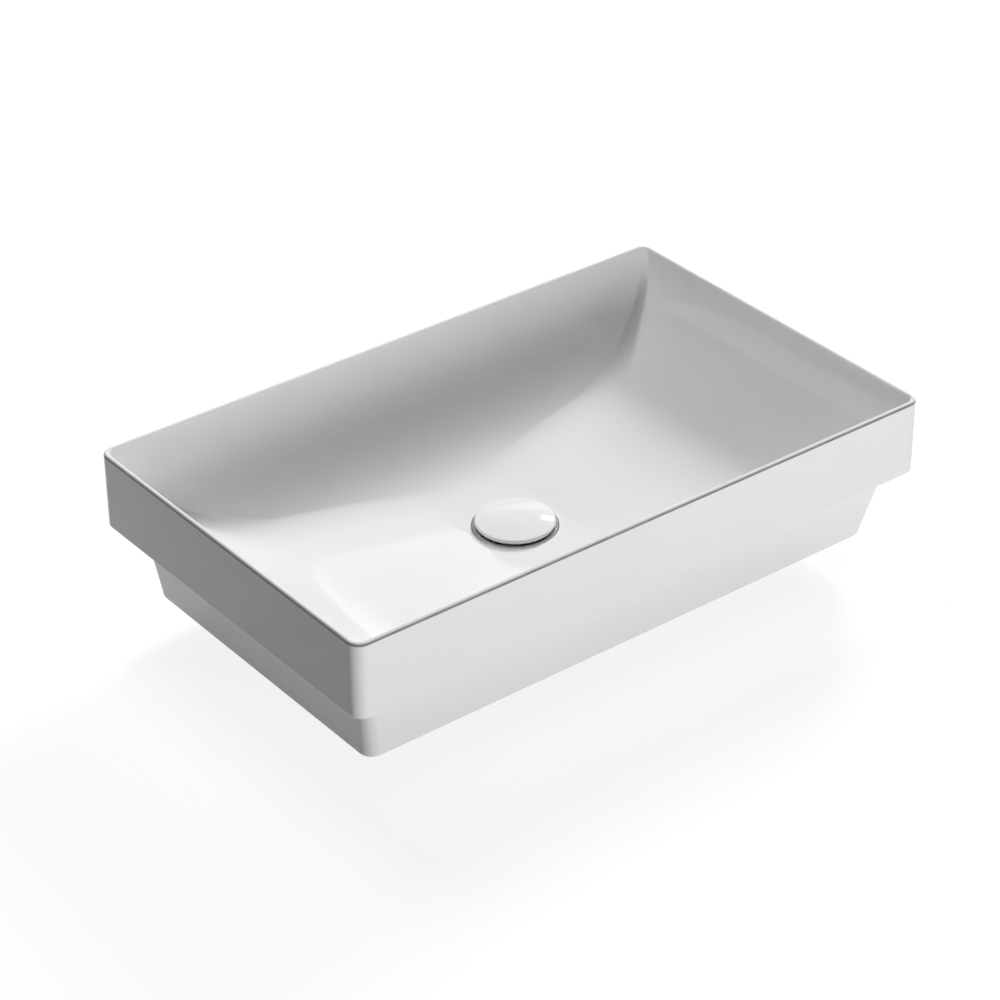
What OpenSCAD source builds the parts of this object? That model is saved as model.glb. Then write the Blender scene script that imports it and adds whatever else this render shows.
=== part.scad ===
// Inset wash basin of glazed fireclay, with a push-to-open waste under a glazed cap.
// Millimetres, +Z up. The origin is the centre of the shoulder plane, where the basin
// rests on its counter, and the waste hangs on the Z axis. The front is towards -Y.

/* [Rim box] */
// Length of the basin, left to right
basin_l = 600; // [480:10:760]
// Depth of the basin, front to back
basin_w = 370; // [320:10:460]
// Height of the upright walls above the counter
rim_h = 71; // [55:1:95]
// Radius of the upright corners
corner_r = 12; // [9:0.5:24]
// Thickness of the rim at its top
rim_t = 5; // [4:0.5:8]
// Width of the flat crest between the rim's two roundings
crest_w = 0.4; // [0.2:0.1:1]
// Rounding of the rim box's lower edge
shoulder_edge_r = 1.6; // [0.8:0.2:3]

/* [Inset body] */
// Height of the inset body below the counter
inset_h = 69; // [55:1:90]
// Step in from the rim box at each end
end_step = 17; // [12:1:26]
// Step in at the front
front_step = 15; // [11:1:24]
// Step in at the back
back_step = 30; // [16:1:36]
// Further draw-in of each end at the foot
end_taper = 13; // [4:1:20]
// Further draw-in of the front at the foot
front_taper = 16; // [4:1:22]
// Further draw-in of the back at the foot
back_taper = 1; // [0.5:0.5:10]
// Radius of the inset body's upright corners
inset_corner_r = 12; // [10:0.5:24]
// Rounding of the foot's outer edge
foot_edge_r = 2; // [1:0.5:4]

/* [Walls] */
// Thickness of the outer walls
wall_t = 9; // [7:0.5:12]
// Thickness of the bowl
bowl_t = 9; // [7:0.5:12]
// Thickness of the shoulder's ledge
ledge_t = 9; // [7:0.5:12]

/* [Bowl] */
// Depth of the bowl, from the rim to the waste
bowl_h = 101; // [85:1:118]
// Lean of the end walls from upright, in degrees
end_lean = 15; // [8:1:24]
// Radius of the bend between an end wall and the floor
end_bend_r = 112; // [60:2:140]
// Fall of the floor from the ends to the waste, in degrees
end_fall = 5.5; // [3:0.5:8]
// Lean of the front and back walls from upright, in degrees
side_lean = 26; // [14:1:32]
// Radius of the bend between the front or back wall and the floor
side_bend_r = 95; // [50:5:120]
// Fall of the floor from the front and back to the waste, in degrees
side_fall = 1.5; // [1:0.25:3]

/* [Waste fitting] */
// Outer diameter of the flange
flange_d = 75.6; // [70:0.2:84]
// Thickness of the flange at its edge
flange_t = 2.4; // [1.8:0.1:3.2]
// How far the flange stands above the floor
flange_proud = 0.4; // [0.2:0.1:1]
// Width of the flange's flat rim, outside its dish
flange_rim_w = 3.4; // [2.4:0.2:5]
// Depth of the flange's dish
dish_h = 9; // [7.5:0.5:10]
// Outer diameter of the threaded tail
tail_d = 41.9; // [38:0.1:44]
// Bore of the tail
tail_bore_d = 36.8; // [33:0.1:38]
// Length of the fitting, from the flange's top to the tail's end
waste_h = 72; // [66:1:90]
// Diameter of the relief groove above the tail's lower thread
relief_d = 40.4; // [37.4:0.1:42]
// Height of the relief groove
relief_h = 2; // [1:0.5:3]
// Length of the tail's lower thread
lower_thread_h = 36; // [28:1:38]
// Thickness of the flange's seal
flange_seal_t = 1.6; // [1:0.2:2.4]
// Width of the flange's seal
flange_seal_w = 4.9; // [4:0.1:5.4]

/* [Waste hole] */
// Diameter of the waste hole
hole_d = 46; // [43:0.5:50]
// Diameter of the boss under the bowl
boss_d = 74; // [66:1:86]
// Height of the boss's underside below the bowl's floor
boss_h = 16; // [14:0.5:20]

/* [Backnut and washers] */
// Outer diameter of the cone washer
cone_d = 60; // [54:1:66]
// Height of the cone washer
cone_h = 7; // [5:0.5:8]
// Height of its centring lip in the waste hole
cone_lip_h = 3; // [2:0.5:4]
// Outer diameter of the slip washer
slip_d = 62; // [56:1:68]
// Thickness of the slip washer
slip_t = 1.5; // [1:0.5:2]
// Diameter of the backnut across its lugs
nut_d = 62; // [56:1:66]
// Diameter of the backnut between its lugs
nut_root_d = 54; // [50:1:55]
// Height of the backnut
nut_h = 9; // [7:0.5:10]
// Width of a lug
lug_w = 10; // [7:1:13]

/* [Cap] */
// Width of the flange that shows round the cap
cap_margin = 2.4; // [1.6:0.2:4]
// Height of the cap's widest line above the flange
cap_edge_h = 3.9; // [3.4:0.1:5]
// Gap between the closed cap and the flange
cap_gap = 1; // [0.6:0.1:1.6]
// Rise of the dome above the widest line
cap_dome_h = 3.4; // [2.4:0.1:5]
// Rounding of the cap's upper edge
cap_edge_r = 1.5; // [1:0.1:2]
// Travel of the cap from closed to open
cap_lift = 8; // [6:0.5:9]
// Thickness of the bond pad
pad_t = 0.6; // [0.4:0.1:1]
// How far the pad stays in from the carrier's edge
pad_set_in = 1.5; // [1:0.5:4]
// How far the carrier's edge stays in from the dish
carrier_set_in = 3.4; // [3:0.2:6]
// Thickness of the carrier's plate
carrier_t = 1.8; // [1.2:0.1:2.2]
// Diameter of the carrier's hub
carrier_hub_d = 12; // [10:0.5:15]
// Height of the carrier's hub under its plate
carrier_hub_h = 5; // [4:0.5:6]
// How far the cap's seal stays in from the carrier's edge
cap_seal_set_in = 2.5; // [2:0.5:4]
// Width of the seal's section
cap_seal_w = 3; // [2:0.2:4]

/* [Cartridge] */
// Diameter of the plunger's stem
stem_d = 7; // [5:0.5:8]
// Depth of the stem in the carrier
stem_grip = 5.8; // [3:0.2:6]
// Height of the lock nut on the stem
stem_nut_h = 3; // [2:0.5:4]
// Lock nut across its flats
stem_nut_af = 11; // [10:0.5:13]
// Outer diameter of the sleeve
sleeve_d = 15.6; // [14:0.2:18]
// Bore of the sleeve
sleeve_bore_d = 12.6; // [12:0.2:13]
// Thickness of the sleeve's bottom
sleeve_floor_t = 1.4; // [1:0.2:2]
// Sleeve's hexagon across its flats
sleeve_af = 15; // [14:0.5:17]
// Height of the hexagon
sleeve_hex_h = 4; // [3:0.5:6]
// Height that the collar overlaps the sleeve
collar_grip = 3; // [2:0.5:4]
// Thickness of the collar's top
collar_t = 3; // [2.6:0.2:4]
// Outer diameter of the collar
collar_d = 17; // [16:0.2:20]
// Width of a guide rib in the sleeve
rib_w = 2.2; // [1.6:0.2:2.6]
// Height of a guide rib from the bore's wall
rib_h = 1; // [0.8:0.1:1.2]
// Height of the plunger's piston, without its teeth
piston_h = 2.4; // [2:0.2:3]
// Height of the saw teeth on plunger and rotor
tooth_h = 0.8; // [0.5:0.1:1]
// Height of the rotor, without its teeth
rotor_h = 3.6; // [3:0.2:4]
// Diameter of the rotor's core
rotor_d = 9.8; // [9:0.2:10]
// Height of a rotor lug
rotor_lug_h = 3; // [2:0.2:3.4]
// Width of a rotor lug
rotor_lug_w = 3.4; // [2.4:0.2:4]
// Diameter of the plunger's spigot in the rotor
spigot_d = 4; // [3:0.2:4.6]
// Thickness of the thrust washer
thrust_t = 0.7; // [0.5:0.1:1]
// Diameter of the spring's wire
wire_d = 0.8; // [0.6:0.05:0.9]
// Mean diameter of the spring
spring_d = 9.2; // [8:0.2:10]
// Height of the spring while the cap is closed
spring_h = 6; // [5.6:0.2:8]
// Section diameter of the stem's seal
stem_seal_w = 1.4; // [1:0.1:1.8]
// Diameter of the stud under the sleeve
stud_d = 8; // [6:0.5:9]
// Length of the stud
stud_h = 12; // [12:0.5:15]

/* [Spider] */
// Thickness of the spider in the tail
spider_t = 4; // [3:0.5:5]
// Diameter of the spider's hub
spider_hub_d = 15; // [13:0.5:18]
// Width of a spoke
spoke_w = 2.6; // [2:0.2:4]
// Thickness of the lock washer under the spider
lock_washer_t = 1.6; // [1:0.2:2]
// Outer diameter of the lock washer
lock_washer_d = 14; // [12:0.5:16]
// Height of the cartridge's nut
cartridge_nut_h = 5; // [4:0.5:6]
// Cartridge's nut across its flats
cartridge_nut_af = 13; // [12:0.5:15]

/* [Clearances] */
// Gap round a screwed or pushed-on piece
fit_gap = 0.05; // [0.03:0.01:0.1]
// Radial gap round a sliding or turning piece
run_gap = 0.06; // [0.03:0.01:0.1]
// Gap between a moving piece and its neighbour's face
face_gap = 0.2; // [0.1:0.05:0.3]
// Gap between the cap's seal and its seat
seat_gap = 0.3; // [0.2:0.05:0.5]
// Gap round the flange in its recess
recess_gap = 0.5; // [0.3:0.1:1]
// Gap between the washers and the tail
washer_gap = 0.1; // [0.05:0.05:0.3]

/* [Hidden] */

// Sides of round pieces, segments of a rounded corner, levels of the bowl, steps of a small rounding
round_fn = 96;
corner_steps = 8;
bowl_levels = 26;
edge_steps = 5;
// How far a cut runs past the surface it opens
overrun = 2;
// Share of a wall or floor that a bend may take up
bend_share = 0.97;
// Share of the pitch that a saw tooth fills at its inner end
tooth_share = 0.85;
// How the levels of the bowl crowd towards its floor, and how late its corners widen
level_power = 2.2;
valley_power = 3;
// Counts of the nut's lugs, guide ribs, saw teeth, spokes and coils of the spring
lug_n = 6;
rib_n = 4;
tooth_n = 8;
spoke_n = 4;
coil_n = 4;
coil_rings = 10;
wire_sides = 8;

// Rim and bowl
nose_r = (rim_t - crest_w) / 2;
nose_z = rim_h - nose_r;
floor_z = rim_h - bowl_h;
recess_r = flange_d / 2 + recess_gap;
eye_r = recess_r + recess_gap;
bowl_corner_r = corner_r - rim_t;
end_profile = bowl_profile(basin_l / 2 - rim_t, end_lean, end_bend_r, end_fall);
side_profile = bowl_profile(basin_w / 2 - rim_t, side_lean, side_bend_r, side_fall);

// Waste fitting, from the flange down
flange_z = floor_z + flange_proud;
flange_under_z = flange_z - flange_t;
seat_z = flange_under_z - flange_seal_t;
boss_z = floor_z - boss_h;
dish_r = flange_d / 2 - flange_rim_w;
throat_r = tail_bore_d / 2;
throat_z = flange_z - dish_h;
neck_r = flange_d / 2 - flange_seal_w - recess_gap;
neck_z = throat_z - flange_t;
recess_hole_r = neck_r + recess_gap;
tail_z = flange_z - waste_h;
relief_z = tail_z + lower_thread_h;
cone_z = boss_z - cone_h;
slip_z = cone_z - slip_t;
nut_z = slip_z - nut_h;

// Dish of the flange: its seat falls evenly from the rim to the throat
seat_fall = (flange_z - throat_z) / (dish_r - throat_r);
function seat_at(r) = flange_z - (dish_r - r) * seat_fall;
function seat_r(z) = dish_r - (flange_z - z) / seat_fall;

// Cap, from its widest line down
cap_r = flange_d / 2 - cap_margin;
cap_edge_z = flange_z + cap_edge_h;
cap_under_z = flange_z + cap_gap;
cap_top_z = cap_edge_z + cap_dome_h;
pad_z = cap_under_z - pad_t;
carrier_z = pad_z - carrier_t;
carrier_r = seat_r(carrier_z) - carrier_set_in;
cap_seal_r = carrier_r - cap_seal_set_in;
carrier_hub_z = carrier_z - carrier_hub_h;
stem_nut_z = carrier_hub_z - stem_nut_h;
stem_top_z = carrier_hub_z + stem_grip;

// Cartridge: the collar stays clear of the stem's nut, and the sleeve hangs from it
collar_z = stem_nut_z - 4 * face_gap;
sleeve_top_z = collar_z - collar_t;
piston_top_z = sleeve_top_z - face_gap - cap_lift;
piston_z = piston_top_z - piston_h;
piston_r = sleeve_bore_d / 2 - run_gap;
rotor_tip_z = piston_z - tooth_h - face_gap;
rotor_top_z = rotor_tip_z - tooth_h;
rotor_z = rotor_top_z - rotor_h;
rotor_lug_z = rotor_z + face_gap;
rib_z = rotor_lug_z + rotor_lug_h + face_gap;
rotor_reach_r = sleeve_bore_d / 2 - seat_gap;
between_ribs_r = sleeve_bore_d / 2 - rib_h - face_gap;
thrust_z = rotor_z - face_gap / 2 - thrust_t;
spring_top_z = thrust_z - face_gap / 2;
spring_z = spring_top_z - spring_h;
sleeve_z = spring_z - sleeve_floor_t;
sleeve_h = sleeve_top_z - sleeve_z;
collar_grip_d = (collar_d + sleeve_bore_d) / 2;
seal_r = stem_d / 2 + run_gap + stem_seal_w / 2;
gland_z = collar_z - (collar_t + stem_seal_w) / 2 - fit_gap;
spider_z = sleeve_z - spider_t;
lock_washer_z = spider_z - lock_washer_t;
cartridge_nut_z = lock_washer_z - cartridge_nut_h;

// Colours
glaze = [0.93, 0.93, 0.92];
chrome = [0.75, 0.76, 0.78];
brass = [0.80, 0.66, 0.36];
rubber = [0.16, 0.16, 0.17];
nylon = [0.86, 0.87, 0.85];
steel = [0.62, 0.63, 0.65];

// A bowl profile is a leaning wall, a bend and a falling floor. It is held as
// [centre across, centre up, bend radius, lean, fall, half width at the rim].
function lines_meet(wall, lean, fall, offset) =
    let (a = -cos(lean), b = sin(lean), e = a * wall + b * nose_z + offset,
         f = -sin(fall), g = cos(fall), h = f * eye_r + g * floor_z + offset,
         det = a * g - b * f)
    [(e * g - b * h) / det, (a * h - e * f) / det];
function bowl_profile(wall, lean, bend, fall) =
    let (foot = lines_meet(wall, lean, fall, 0),
         wall_run = (nose_z - foot[1]) / cos(lean),
         floor_run = (foot[0] - eye_r) / cos(fall),
         widest = bend_share * min(wall_run, floor_run) / tan((90 - lean - fall) / 2),
         r = min(bend, widest),
         centre = lines_meet(wall, lean, fall, r))
    [centre[0], centre[1], r, lean, fall, wall];

// Half width of the bowl at a height, with the surface moved out by a thickness
function half_at(profile, z, t) =
    let (r = profile[2] + t, lean = profile[3], fall = profile[4])
    z >= profile[1] - r * sin(lean)
        ? profile[5] + t / cos(lean) - (nose_z - z) * tan(lean)
        : z <= profile[1] - r * cos(fall)
            ? eye_r + (z - floor_z + t / cos(fall)) / tan(fall)
            : profile[0] + sqrt(r * r - pow(z - profile[1], 2));

// Corner radius of the bowl's section: tight at the rim, and a full circle at the waste
function valley_r(z, low) =
    bowl_corner_r + (eye_r - bowl_corner_r) * pow((nose_z - z) / (nose_z - low), valley_power);

// A ring of points round a rounded rectangle, [half length, half width, radius, height, shift in Y]
function ring(hx, hy, r, z, y0 = 0) =
    [for (corner = [0:3])
        for (i = [0:corner_steps])
            let (a = 90 * (corner + i / corner_steps),
                 sx = corner == 0 || corner == 3 ? 1 : -1,
                 sy = corner < 2 ? 1 : -1)
            [sx * (hx - r) + r * cos(a), y0 + sy * (hy - r) + r * sin(a), z]];

// Rings of the bowl's surface from its floor to the rim's rounding, moved out by a thickness
function bowl_rings(t) =
    let (low = floor_z - t)
    [for (i = [0:bowl_levels])
        let (z = low + (nose_z - low) * pow(i / bowl_levels, level_power),
             hx = i == 0 ? eye_r + t : half_at(end_profile, z, t),
             hy = i == 0 ? eye_r + t : half_at(side_profile, z, t))
        ring(hx, hy, min(hx, hy, valley_r(z, low) + t), z)];

// A closed solid over rings that have the same number of points, from the lowest up
module loft(rings) {
    n = len(rings[0]);
    last = (len(rings) - 1) * n;
    polyhedron(
        points = [for (r = rings) each r],
        faces = concat(
            [[for (i = [0:n - 1]) i]],
            [for (k = [0:len(rings) - 2])
                for (i = [0:n - 1])
                    let (a = k * n + i, b = k * n + (i + 1) % n)
                    each [[a, a + n, b + n], [a, b + n, b]]],
            [[for (i = [n - 1:-1:0]) last + i]]));
}

// Half sizes of the outer box, set in by a distance
function box_ring(inset, z) =
    ring(basin_l / 2 - inset, basin_w / 2 - inset, corner_r - inset, z);

// Ring of the inset body at a share of its height below the shoulder, set in by a wall
function inset_ring(share, z, wall) =
    let (front = basin_w / 2 - front_step - front_taper * share - wall,
         back = basin_w / 2 - back_step - back_taper * share - wall)
    ring(basin_l / 2 - end_step - end_taper * share - wall, (front + back) / 2,
         inset_corner_r - wall / 2, z, (back - front) / 2);

module rim_box() {
    lower = [for (i = [0:edge_steps])
        let (a = 90 * i / edge_steps)
        box_ring(shoulder_edge_r * (1 - sin(a)), shoulder_edge_r * (1 - cos(a)))];
    upper = [for (i = [0:edge_steps])
        let (a = 90 * i / edge_steps)
        box_ring(nose_r * (1 - cos(a)), nose_z + nose_r * sin(a))];
    loft(concat(lower, upper));
}

module inset_body() {
    foot = [for (i = [0:edge_steps])
        let (a = 90 * i / edge_steps, z = foot_edge_r * (1 - cos(a)))
        inset_ring(1 - z / inset_h, z - inset_h, foot_edge_r * (1 - sin(a)))];
    loft(concat(foot, [inset_ring(0, 0, 0), inset_ring(0, shoulder_edge_r, 0)]));
}

// What is scooped out of the basin from above: the bowl and the inside of the rim's rounding
module bowl_scoop() {
    nose = [for (i = [1:edge_steps])
        let (a = 90 * i / edge_steps, out = nose_r * (1 - cos(a)))
        ring(basin_l / 2 - rim_t + out, basin_w / 2 - rim_t + out, bowl_corner_r + out,
             nose_z + nose_r * sin(a))];
    crest = ring(basin_l / 2 - rim_t + nose_r, basin_w / 2 - rim_t + nose_r,
                 bowl_corner_r + nose_r, rim_h + overrun);
    loft(concat(bowl_rings(0), nose, [crest]));
}

// What is open from below: the space between the bowl's underside and the outer walls
module under_hollow() {
    difference() {
        union() {
            loft([inset_ring(1, -inset_h - overrun, wall_t), inset_ring(1, -inset_h, wall_t),
                  inset_ring(0, 0, wall_t), inset_ring(0, ledge_t + overrun, wall_t)]);
            loft([box_ring(wall_t, ledge_t), box_ring(wall_t, nose_z)]);
        }
        loft(concat(bowl_rings(bowl_t), [
            ring(basin_l / 2 + bowl_t, basin_w / 2 + bowl_t, corner_r, rim_h)]));
        translate([0, 0, boss_z]) cylinder(h = boss_h, d = boss_d, $fn = round_fn);
    }
}

// Recess, cone and hole for the waste fitting
module waste_hole() {
    cone_drop = recess_hole_r - hole_d / 2;
    translate([0, 0, seat_z]) cylinder(h = floor_z - seat_z + overrun, r = recess_r, $fn = round_fn);
    translate([0, 0, seat_z - cone_drop])
        cylinder(h = cone_drop, r1 = hole_d / 2, r2 = recess_hole_r, $fn = round_fn);
    translate([0, 0, boss_z - overrun])
        cylinder(h = floor_z - boss_z + overrun, d = hole_d, $fn = round_fn);
}

module basin() {
    color(glaze)
        difference() {
            union() {
                rim_box();
                inset_body();
            }
            bowl_scoop();
            under_hollow();
            waste_hole();
        }
}

// A ring turned round the Z axis
module turned_ring(inner_r, outer_r, z, h) {
    rotate_extrude($fn = round_fn)
        translate([inner_r, z]) square([outer_r - inner_r, h]);
}

// A nut or hexagon with a bore
module hex_nut(af, bore_r, z, h) {
    translate([0, 0, z])
        difference() {
            cylinder(h = h, d = af / cos(30), $fn = 6);
            translate([0, 0, -overrun]) cylinder(h = h + 2 * overrun, r = bore_r, $fn = round_fn);
        }
}

module waste_body() {
    edge = flange_t / 3;
    color(chrome) {
        difference() {
            union() {
                rotate_extrude($fn = round_fn)
                    polygon([
                        [throat_r, tail_z], [tail_d / 2 - edge, tail_z], [tail_d / 2, tail_z + edge],
                        [tail_d / 2, relief_z], [relief_d / 2, relief_z],
                        [relief_d / 2, relief_z + relief_h], [tail_d / 2, relief_z + relief_h],
                        [tail_d / 2, neck_z], [neck_r, flange_under_z],
                        [flange_d / 2, flange_under_z], [flange_d / 2, flange_z - edge],
                        for (a = [15:15:90])
                            [flange_d / 2 - edge * (1 - cos(a)), flange_z - edge * (1 - sin(a))],
                        [dish_r, flange_z], [throat_r, throat_z]]);
                translate([0, 0, spider_z]) cylinder(h = spider_t, d = spider_hub_d, $fn = round_fn);
                for (i = [0:spoke_n - 1])
                    rotate(45 + i * 360 / spoke_n)
                        translate([stud_d / 2 + fit_gap, -spoke_w / 2, spider_z])
                            cube([(throat_r + tail_d / 2) / 2 - stud_d / 2 - fit_gap, spoke_w, spider_t]);
            }
            translate([0, 0, spider_z - overrun])
                cylinder(h = spider_t + 2 * overrun, r = stud_d / 2 + fit_gap, $fn = round_fn);
        }
    }
}

module flange_seal() {
    outer = flange_d / 2 - recess_gap;
    color(rubber) turned_ring(outer - flange_seal_w + recess_gap, outer, seat_z, flange_seal_t);
}

module cone_washer() {
    inner = tail_d / 2 + washer_gap;
    lip = hole_d / 2 - washer_gap;
    taper = (lip - inner) / 2;
    color(rubber)
        rotate_extrude($fn = round_fn)
            polygon([
                [inner, cone_z], [cone_d / 2 - cone_h / 4, cone_z], [cone_d / 2, boss_z],
                [lip, boss_z], [lip - taper, boss_z + cone_lip_h], [inner, boss_z + cone_lip_h]]);
}

module slip_washer() {
    color(nylon) turned_ring(tail_d / 2 + washer_gap, slip_d / 2, slip_z, slip_t);
}

module back_nut() {
    collar = nut_h / 4;
    color(brass)
        difference() {
            union() {
                translate([0, 0, nut_z]) cylinder(h = nut_h, d = nut_root_d, $fn = round_fn);
                translate([0, 0, slip_z - collar]) cylinder(h = collar, d = nut_d, $fn = round_fn);
                for (i = [0:lug_n - 1])
                    rotate(i * 360 / lug_n)
                        translate([0, -lug_w / 2, nut_z])
                            cube([nut_d / 2 - (nut_d - nut_root_d) / 8, lug_w, nut_h - collar / 2]);
            }
            translate([0, 0, nut_z - overrun])
                cylinder(h = nut_h + 2 * overrun, r = tail_d / 2 + fit_gap, $fn = round_fn);
        }
}

module cap_disc() {
    under_r = cap_edge_z - cap_under_z;
    dome_r = cap_r - cap_edge_r;
    rise = cap_dome_h - cap_edge_r;
    sphere_r = (dome_r * dome_r + rise * rise) / (2 * rise);
    color(glaze)
        rotate_extrude($fn = round_fn)
            polygon(concat(
                [[0, cap_under_z]],
                [for (a = [0:15:90])
                    [cap_r - under_r * (1 - sin(a)), cap_edge_z - under_r * cos(a)]],
                [for (a = [15:15:75])
                    [dome_r + cap_edge_r * cos(a), cap_edge_z + cap_edge_r * sin(a)]],
                [for (i = [0:edge_steps * 2])
                    let (x = dome_r * (1 - i / edge_steps / 2))
                    [x, cap_top_z - sphere_r + sqrt(sphere_r * sphere_r - x * x)]]));
}

module cap_bond_pad() {
    color(nylon)
        translate([0, 0, pad_z]) cylinder(h = pad_t, r = carrier_r - pad_set_in, $fn = round_fn);
}

module cap_carrier() {
    taper = carrier_t / 2;
    color(chrome)
        difference() {
            union() {
                translate([0, 0, carrier_z])
                    cylinder(h = carrier_t, r1 = carrier_r - taper, r2 = carrier_r, $fn = round_fn);
                translate([0, 0, carrier_hub_z])
                    cylinder(h = carrier_hub_h + taper, d = carrier_hub_d, $fn = round_fn);
            }
            translate([0, 0, carrier_hub_z - overrun])
                cylinder(h = stem_grip + fit_gap + overrun, r = stem_d / 2 + fit_gap, $fn = round_fn);
        }
}

// The seal hangs under the carrier and follows the seat at an even gap
module cap_seal() {
    inner = cap_seal_r - cap_seal_w;
    lip = cap_seal_r - cap_seal_w / 3;
    rise = seat_gap * sqrt(1 + seat_fall * seat_fall);
    color(rubber)
        rotate_extrude($fn = round_fn)
            polygon([
                [inner, carrier_z], [inner, seat_at(lip) + rise], [lip, seat_at(lip) + rise],
                [cap_seal_r, seat_at(cap_seal_r) + rise], [cap_seal_r, carrier_z]]);
}

module cap_lock_nut() {
    color(brass) hex_nut(stem_nut_af, stem_d / 2 + fit_gap, stem_nut_z, stem_nut_h);
}

// Saw teeth round the axis, each a wedge with its root in what it stands on
module saw_teeth(z) {
    inner_r = spigot_d / 4;
    outer_r = rotor_d / 2 - face_gap;
    half = (spigot_d / 2 + run_gap) * tan(180 / tooth_n) * tooth_share;
    translate([0, 0, z])
        for (i = [0:tooth_n - 1])
            rotate(i * 360 / tooth_n)
                translate([inner_r, 0, 0])
                    rotate([90, 0, 90])
                        linear_extrude(outer_r - inner_r)
                            polygon([
                                [-half, -tooth_h / 2], [half, -tooth_h / 2], [half, tooth_h], [-half, 0]]);
}

module plunger() {
    color(brass) {
        difference() {
            union() {
                translate([0, 0, piston_top_z])
                    cylinder(h = stem_top_z - piston_top_z, d = stem_d, $fn = round_fn);
                translate([0, 0, piston_z]) cylinder(h = piston_h, r = piston_r, $fn = round_fn);
                translate([0, 0, thrust_z]) cylinder(h = piston_z - thrust_z, d = spigot_d, $fn = round_fn);
                translate([0, 0, 2 * piston_z]) mirror([0, 0, 1]) saw_teeth(piston_z);
            }
            for (i = [0:rib_n - 1])
                rotate(i * 360 / rib_n)
                    translate([between_ribs_r, -rib_w / 2 - face_gap, piston_z - overrun])
                        cube([piston_r, rib_w + 2 * face_gap, piston_h + 2 * overrun]);
        }
    }
}

module index_rotor() {
    color(nylon) {
        difference() {
            union() {
                translate([0, 0, rotor_z]) cylinder(h = rotor_h, d = rotor_d, $fn = round_fn);
                intersection() {
                    translate([0, 0, rotor_lug_z])
                        cylinder(h = rotor_lug_h, r = rotor_reach_r, $fn = round_fn);
                    for (i = [0:rib_n - 1])
                        rotate(180 / rib_n + i * 360 / rib_n)
                            translate([spigot_d / 2, -rotor_lug_w / 2, rotor_lug_z])
                                cube([rotor_reach_r, rotor_lug_w, rotor_lug_h]);
                }
                saw_teeth(rotor_top_z);
            }
            translate([0, 0, rotor_z - overrun])
                cylinder(h = rotor_h + tooth_h + 2 * overrun, r = spigot_d / 2 + run_gap, $fn = round_fn);
        }
    }
}

module thrust_washer() {
    color(steel) turned_ring(spigot_d / 2 + fit_gap, between_ribs_r, thrust_z, thrust_t);
}

module stem_seal() {
    color(rubber)
        rotate_extrude($fn = round_fn)
            translate([seal_r, gland_z + stem_seal_w / 2 + fit_gap]) circle(d = stem_seal_w, $fn = round_fn);
}

module cartridge_collar() {
    color(brass)
        difference() {
            translate([0, 0, sleeve_top_z - collar_grip])
                cylinder(h = collar_t + collar_grip, d = collar_d, $fn = round_fn);
            translate([0, 0, sleeve_top_z - collar_grip - overrun])
                cylinder(h = collar_grip + overrun, d = collar_grip_d, $fn = round_fn);
            translate([0, 0, sleeve_top_z - overrun])
                cylinder(h = collar_t + 2 * overrun, r = stem_d / 2 + run_gap, $fn = round_fn);
            turned_ring(stem_d / 4, seal_r + stem_seal_w / 2 + fit_gap, gland_z, stem_seal_w + 2 * fit_gap);
        }
}

module cartridge_sleeve() {
    color(brass) {
        difference() {
            union() {
                translate([0, 0, sleeve_z])
                    cylinder(h = sleeve_h - collar_grip - face_gap, d = sleeve_d, $fn = round_fn);
                translate([0, 0, sleeve_z])
                    cylinder(h = sleeve_h, r = collar_grip_d / 2 - fit_gap, $fn = round_fn);
                translate([0, 0, sleeve_z]) cylinder(h = sleeve_hex_h, d = sleeve_af / cos(30), $fn = 6);
                translate([0, 0, sleeve_z - stud_h])
                    cylinder(h = stud_h + sleeve_floor_t, d = stud_d, $fn = round_fn);
            }
            translate([0, 0, spring_z]) cylinder(h = sleeve_h, d = sleeve_bore_d, $fn = round_fn);
        }
        for (i = [0:rib_n - 1])
            rotate(i * 360 / rib_n)
                translate([sleeve_bore_d / 2 - rib_h, -rib_w / 2, rib_z])
                    cube([rib_h + (collar_grip_d - sleeve_bore_d) / 4, rib_w, sleeve_top_z - rib_z]);
    }
}

// A wire wound into a coil, with each end laid flat against its seat
module cartridge_spring() {
    count = coil_n * coil_rings;
    rise = spring_h - wire_d;
    frames = [for (k = [0:count])
        let (a = k * 360 / coil_rings, z = spring_z + wire_d / 2 + rise * k / count)
        [for (j = [0:wire_sides - 1])
            let (b = j * 360 / wire_sides, r = spring_d / 2 + wire_d / 2 * cos(b))
            [r * cos(a), r * sin(a), z + wire_d / 2 * sin(b)]]];
    n = wire_sides;
    last = count * n;
    echo(spring_gap = min([for (k = [0:count - coil_rings])
        for (p = frames[k])
            for (q = frames[k + coil_rings])
                norm(p - q)]));
    color(steel)
        polyhedron(
            points = [for (f = frames) each f],
            faces = concat(
                [[for (i = [0:n - 1]) i]],
                [for (k = [0:count - 1])
                    for (i = [0:n - 1])
                        let (a = k * n + i, b = k * n + (i + 1) % n)
                        each [[a, a + n, b + n], [a, b + n, b]]],
                [[for (i = [n - 1:-1:0]) last + i]]));
}

module cartridge_washer() {
    color(steel)
        turned_ring(stud_d / 2 + fit_gap, lock_washer_d / 2, lock_washer_z, lock_washer_t);
}

module cartridge_nut() {
    color(brass) hex_nut(cartridge_nut_af, stud_d / 2 + fit_gap, cartridge_nut_z, cartridge_nut_h);
}

basin();
waste_body();
flange_seal();
cone_washer();
slip_washer();
back_nut();
cap_disc();
cap_bond_pad();
cap_carrier();
cap_seal();
cap_lock_nut();
plunger();
stem_seal();
cartridge_collar();
cartridge_sleeve();
index_rotor();
thrust_washer();
cartridge_spring();
cartridge_washer();
cartridge_nut();
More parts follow.
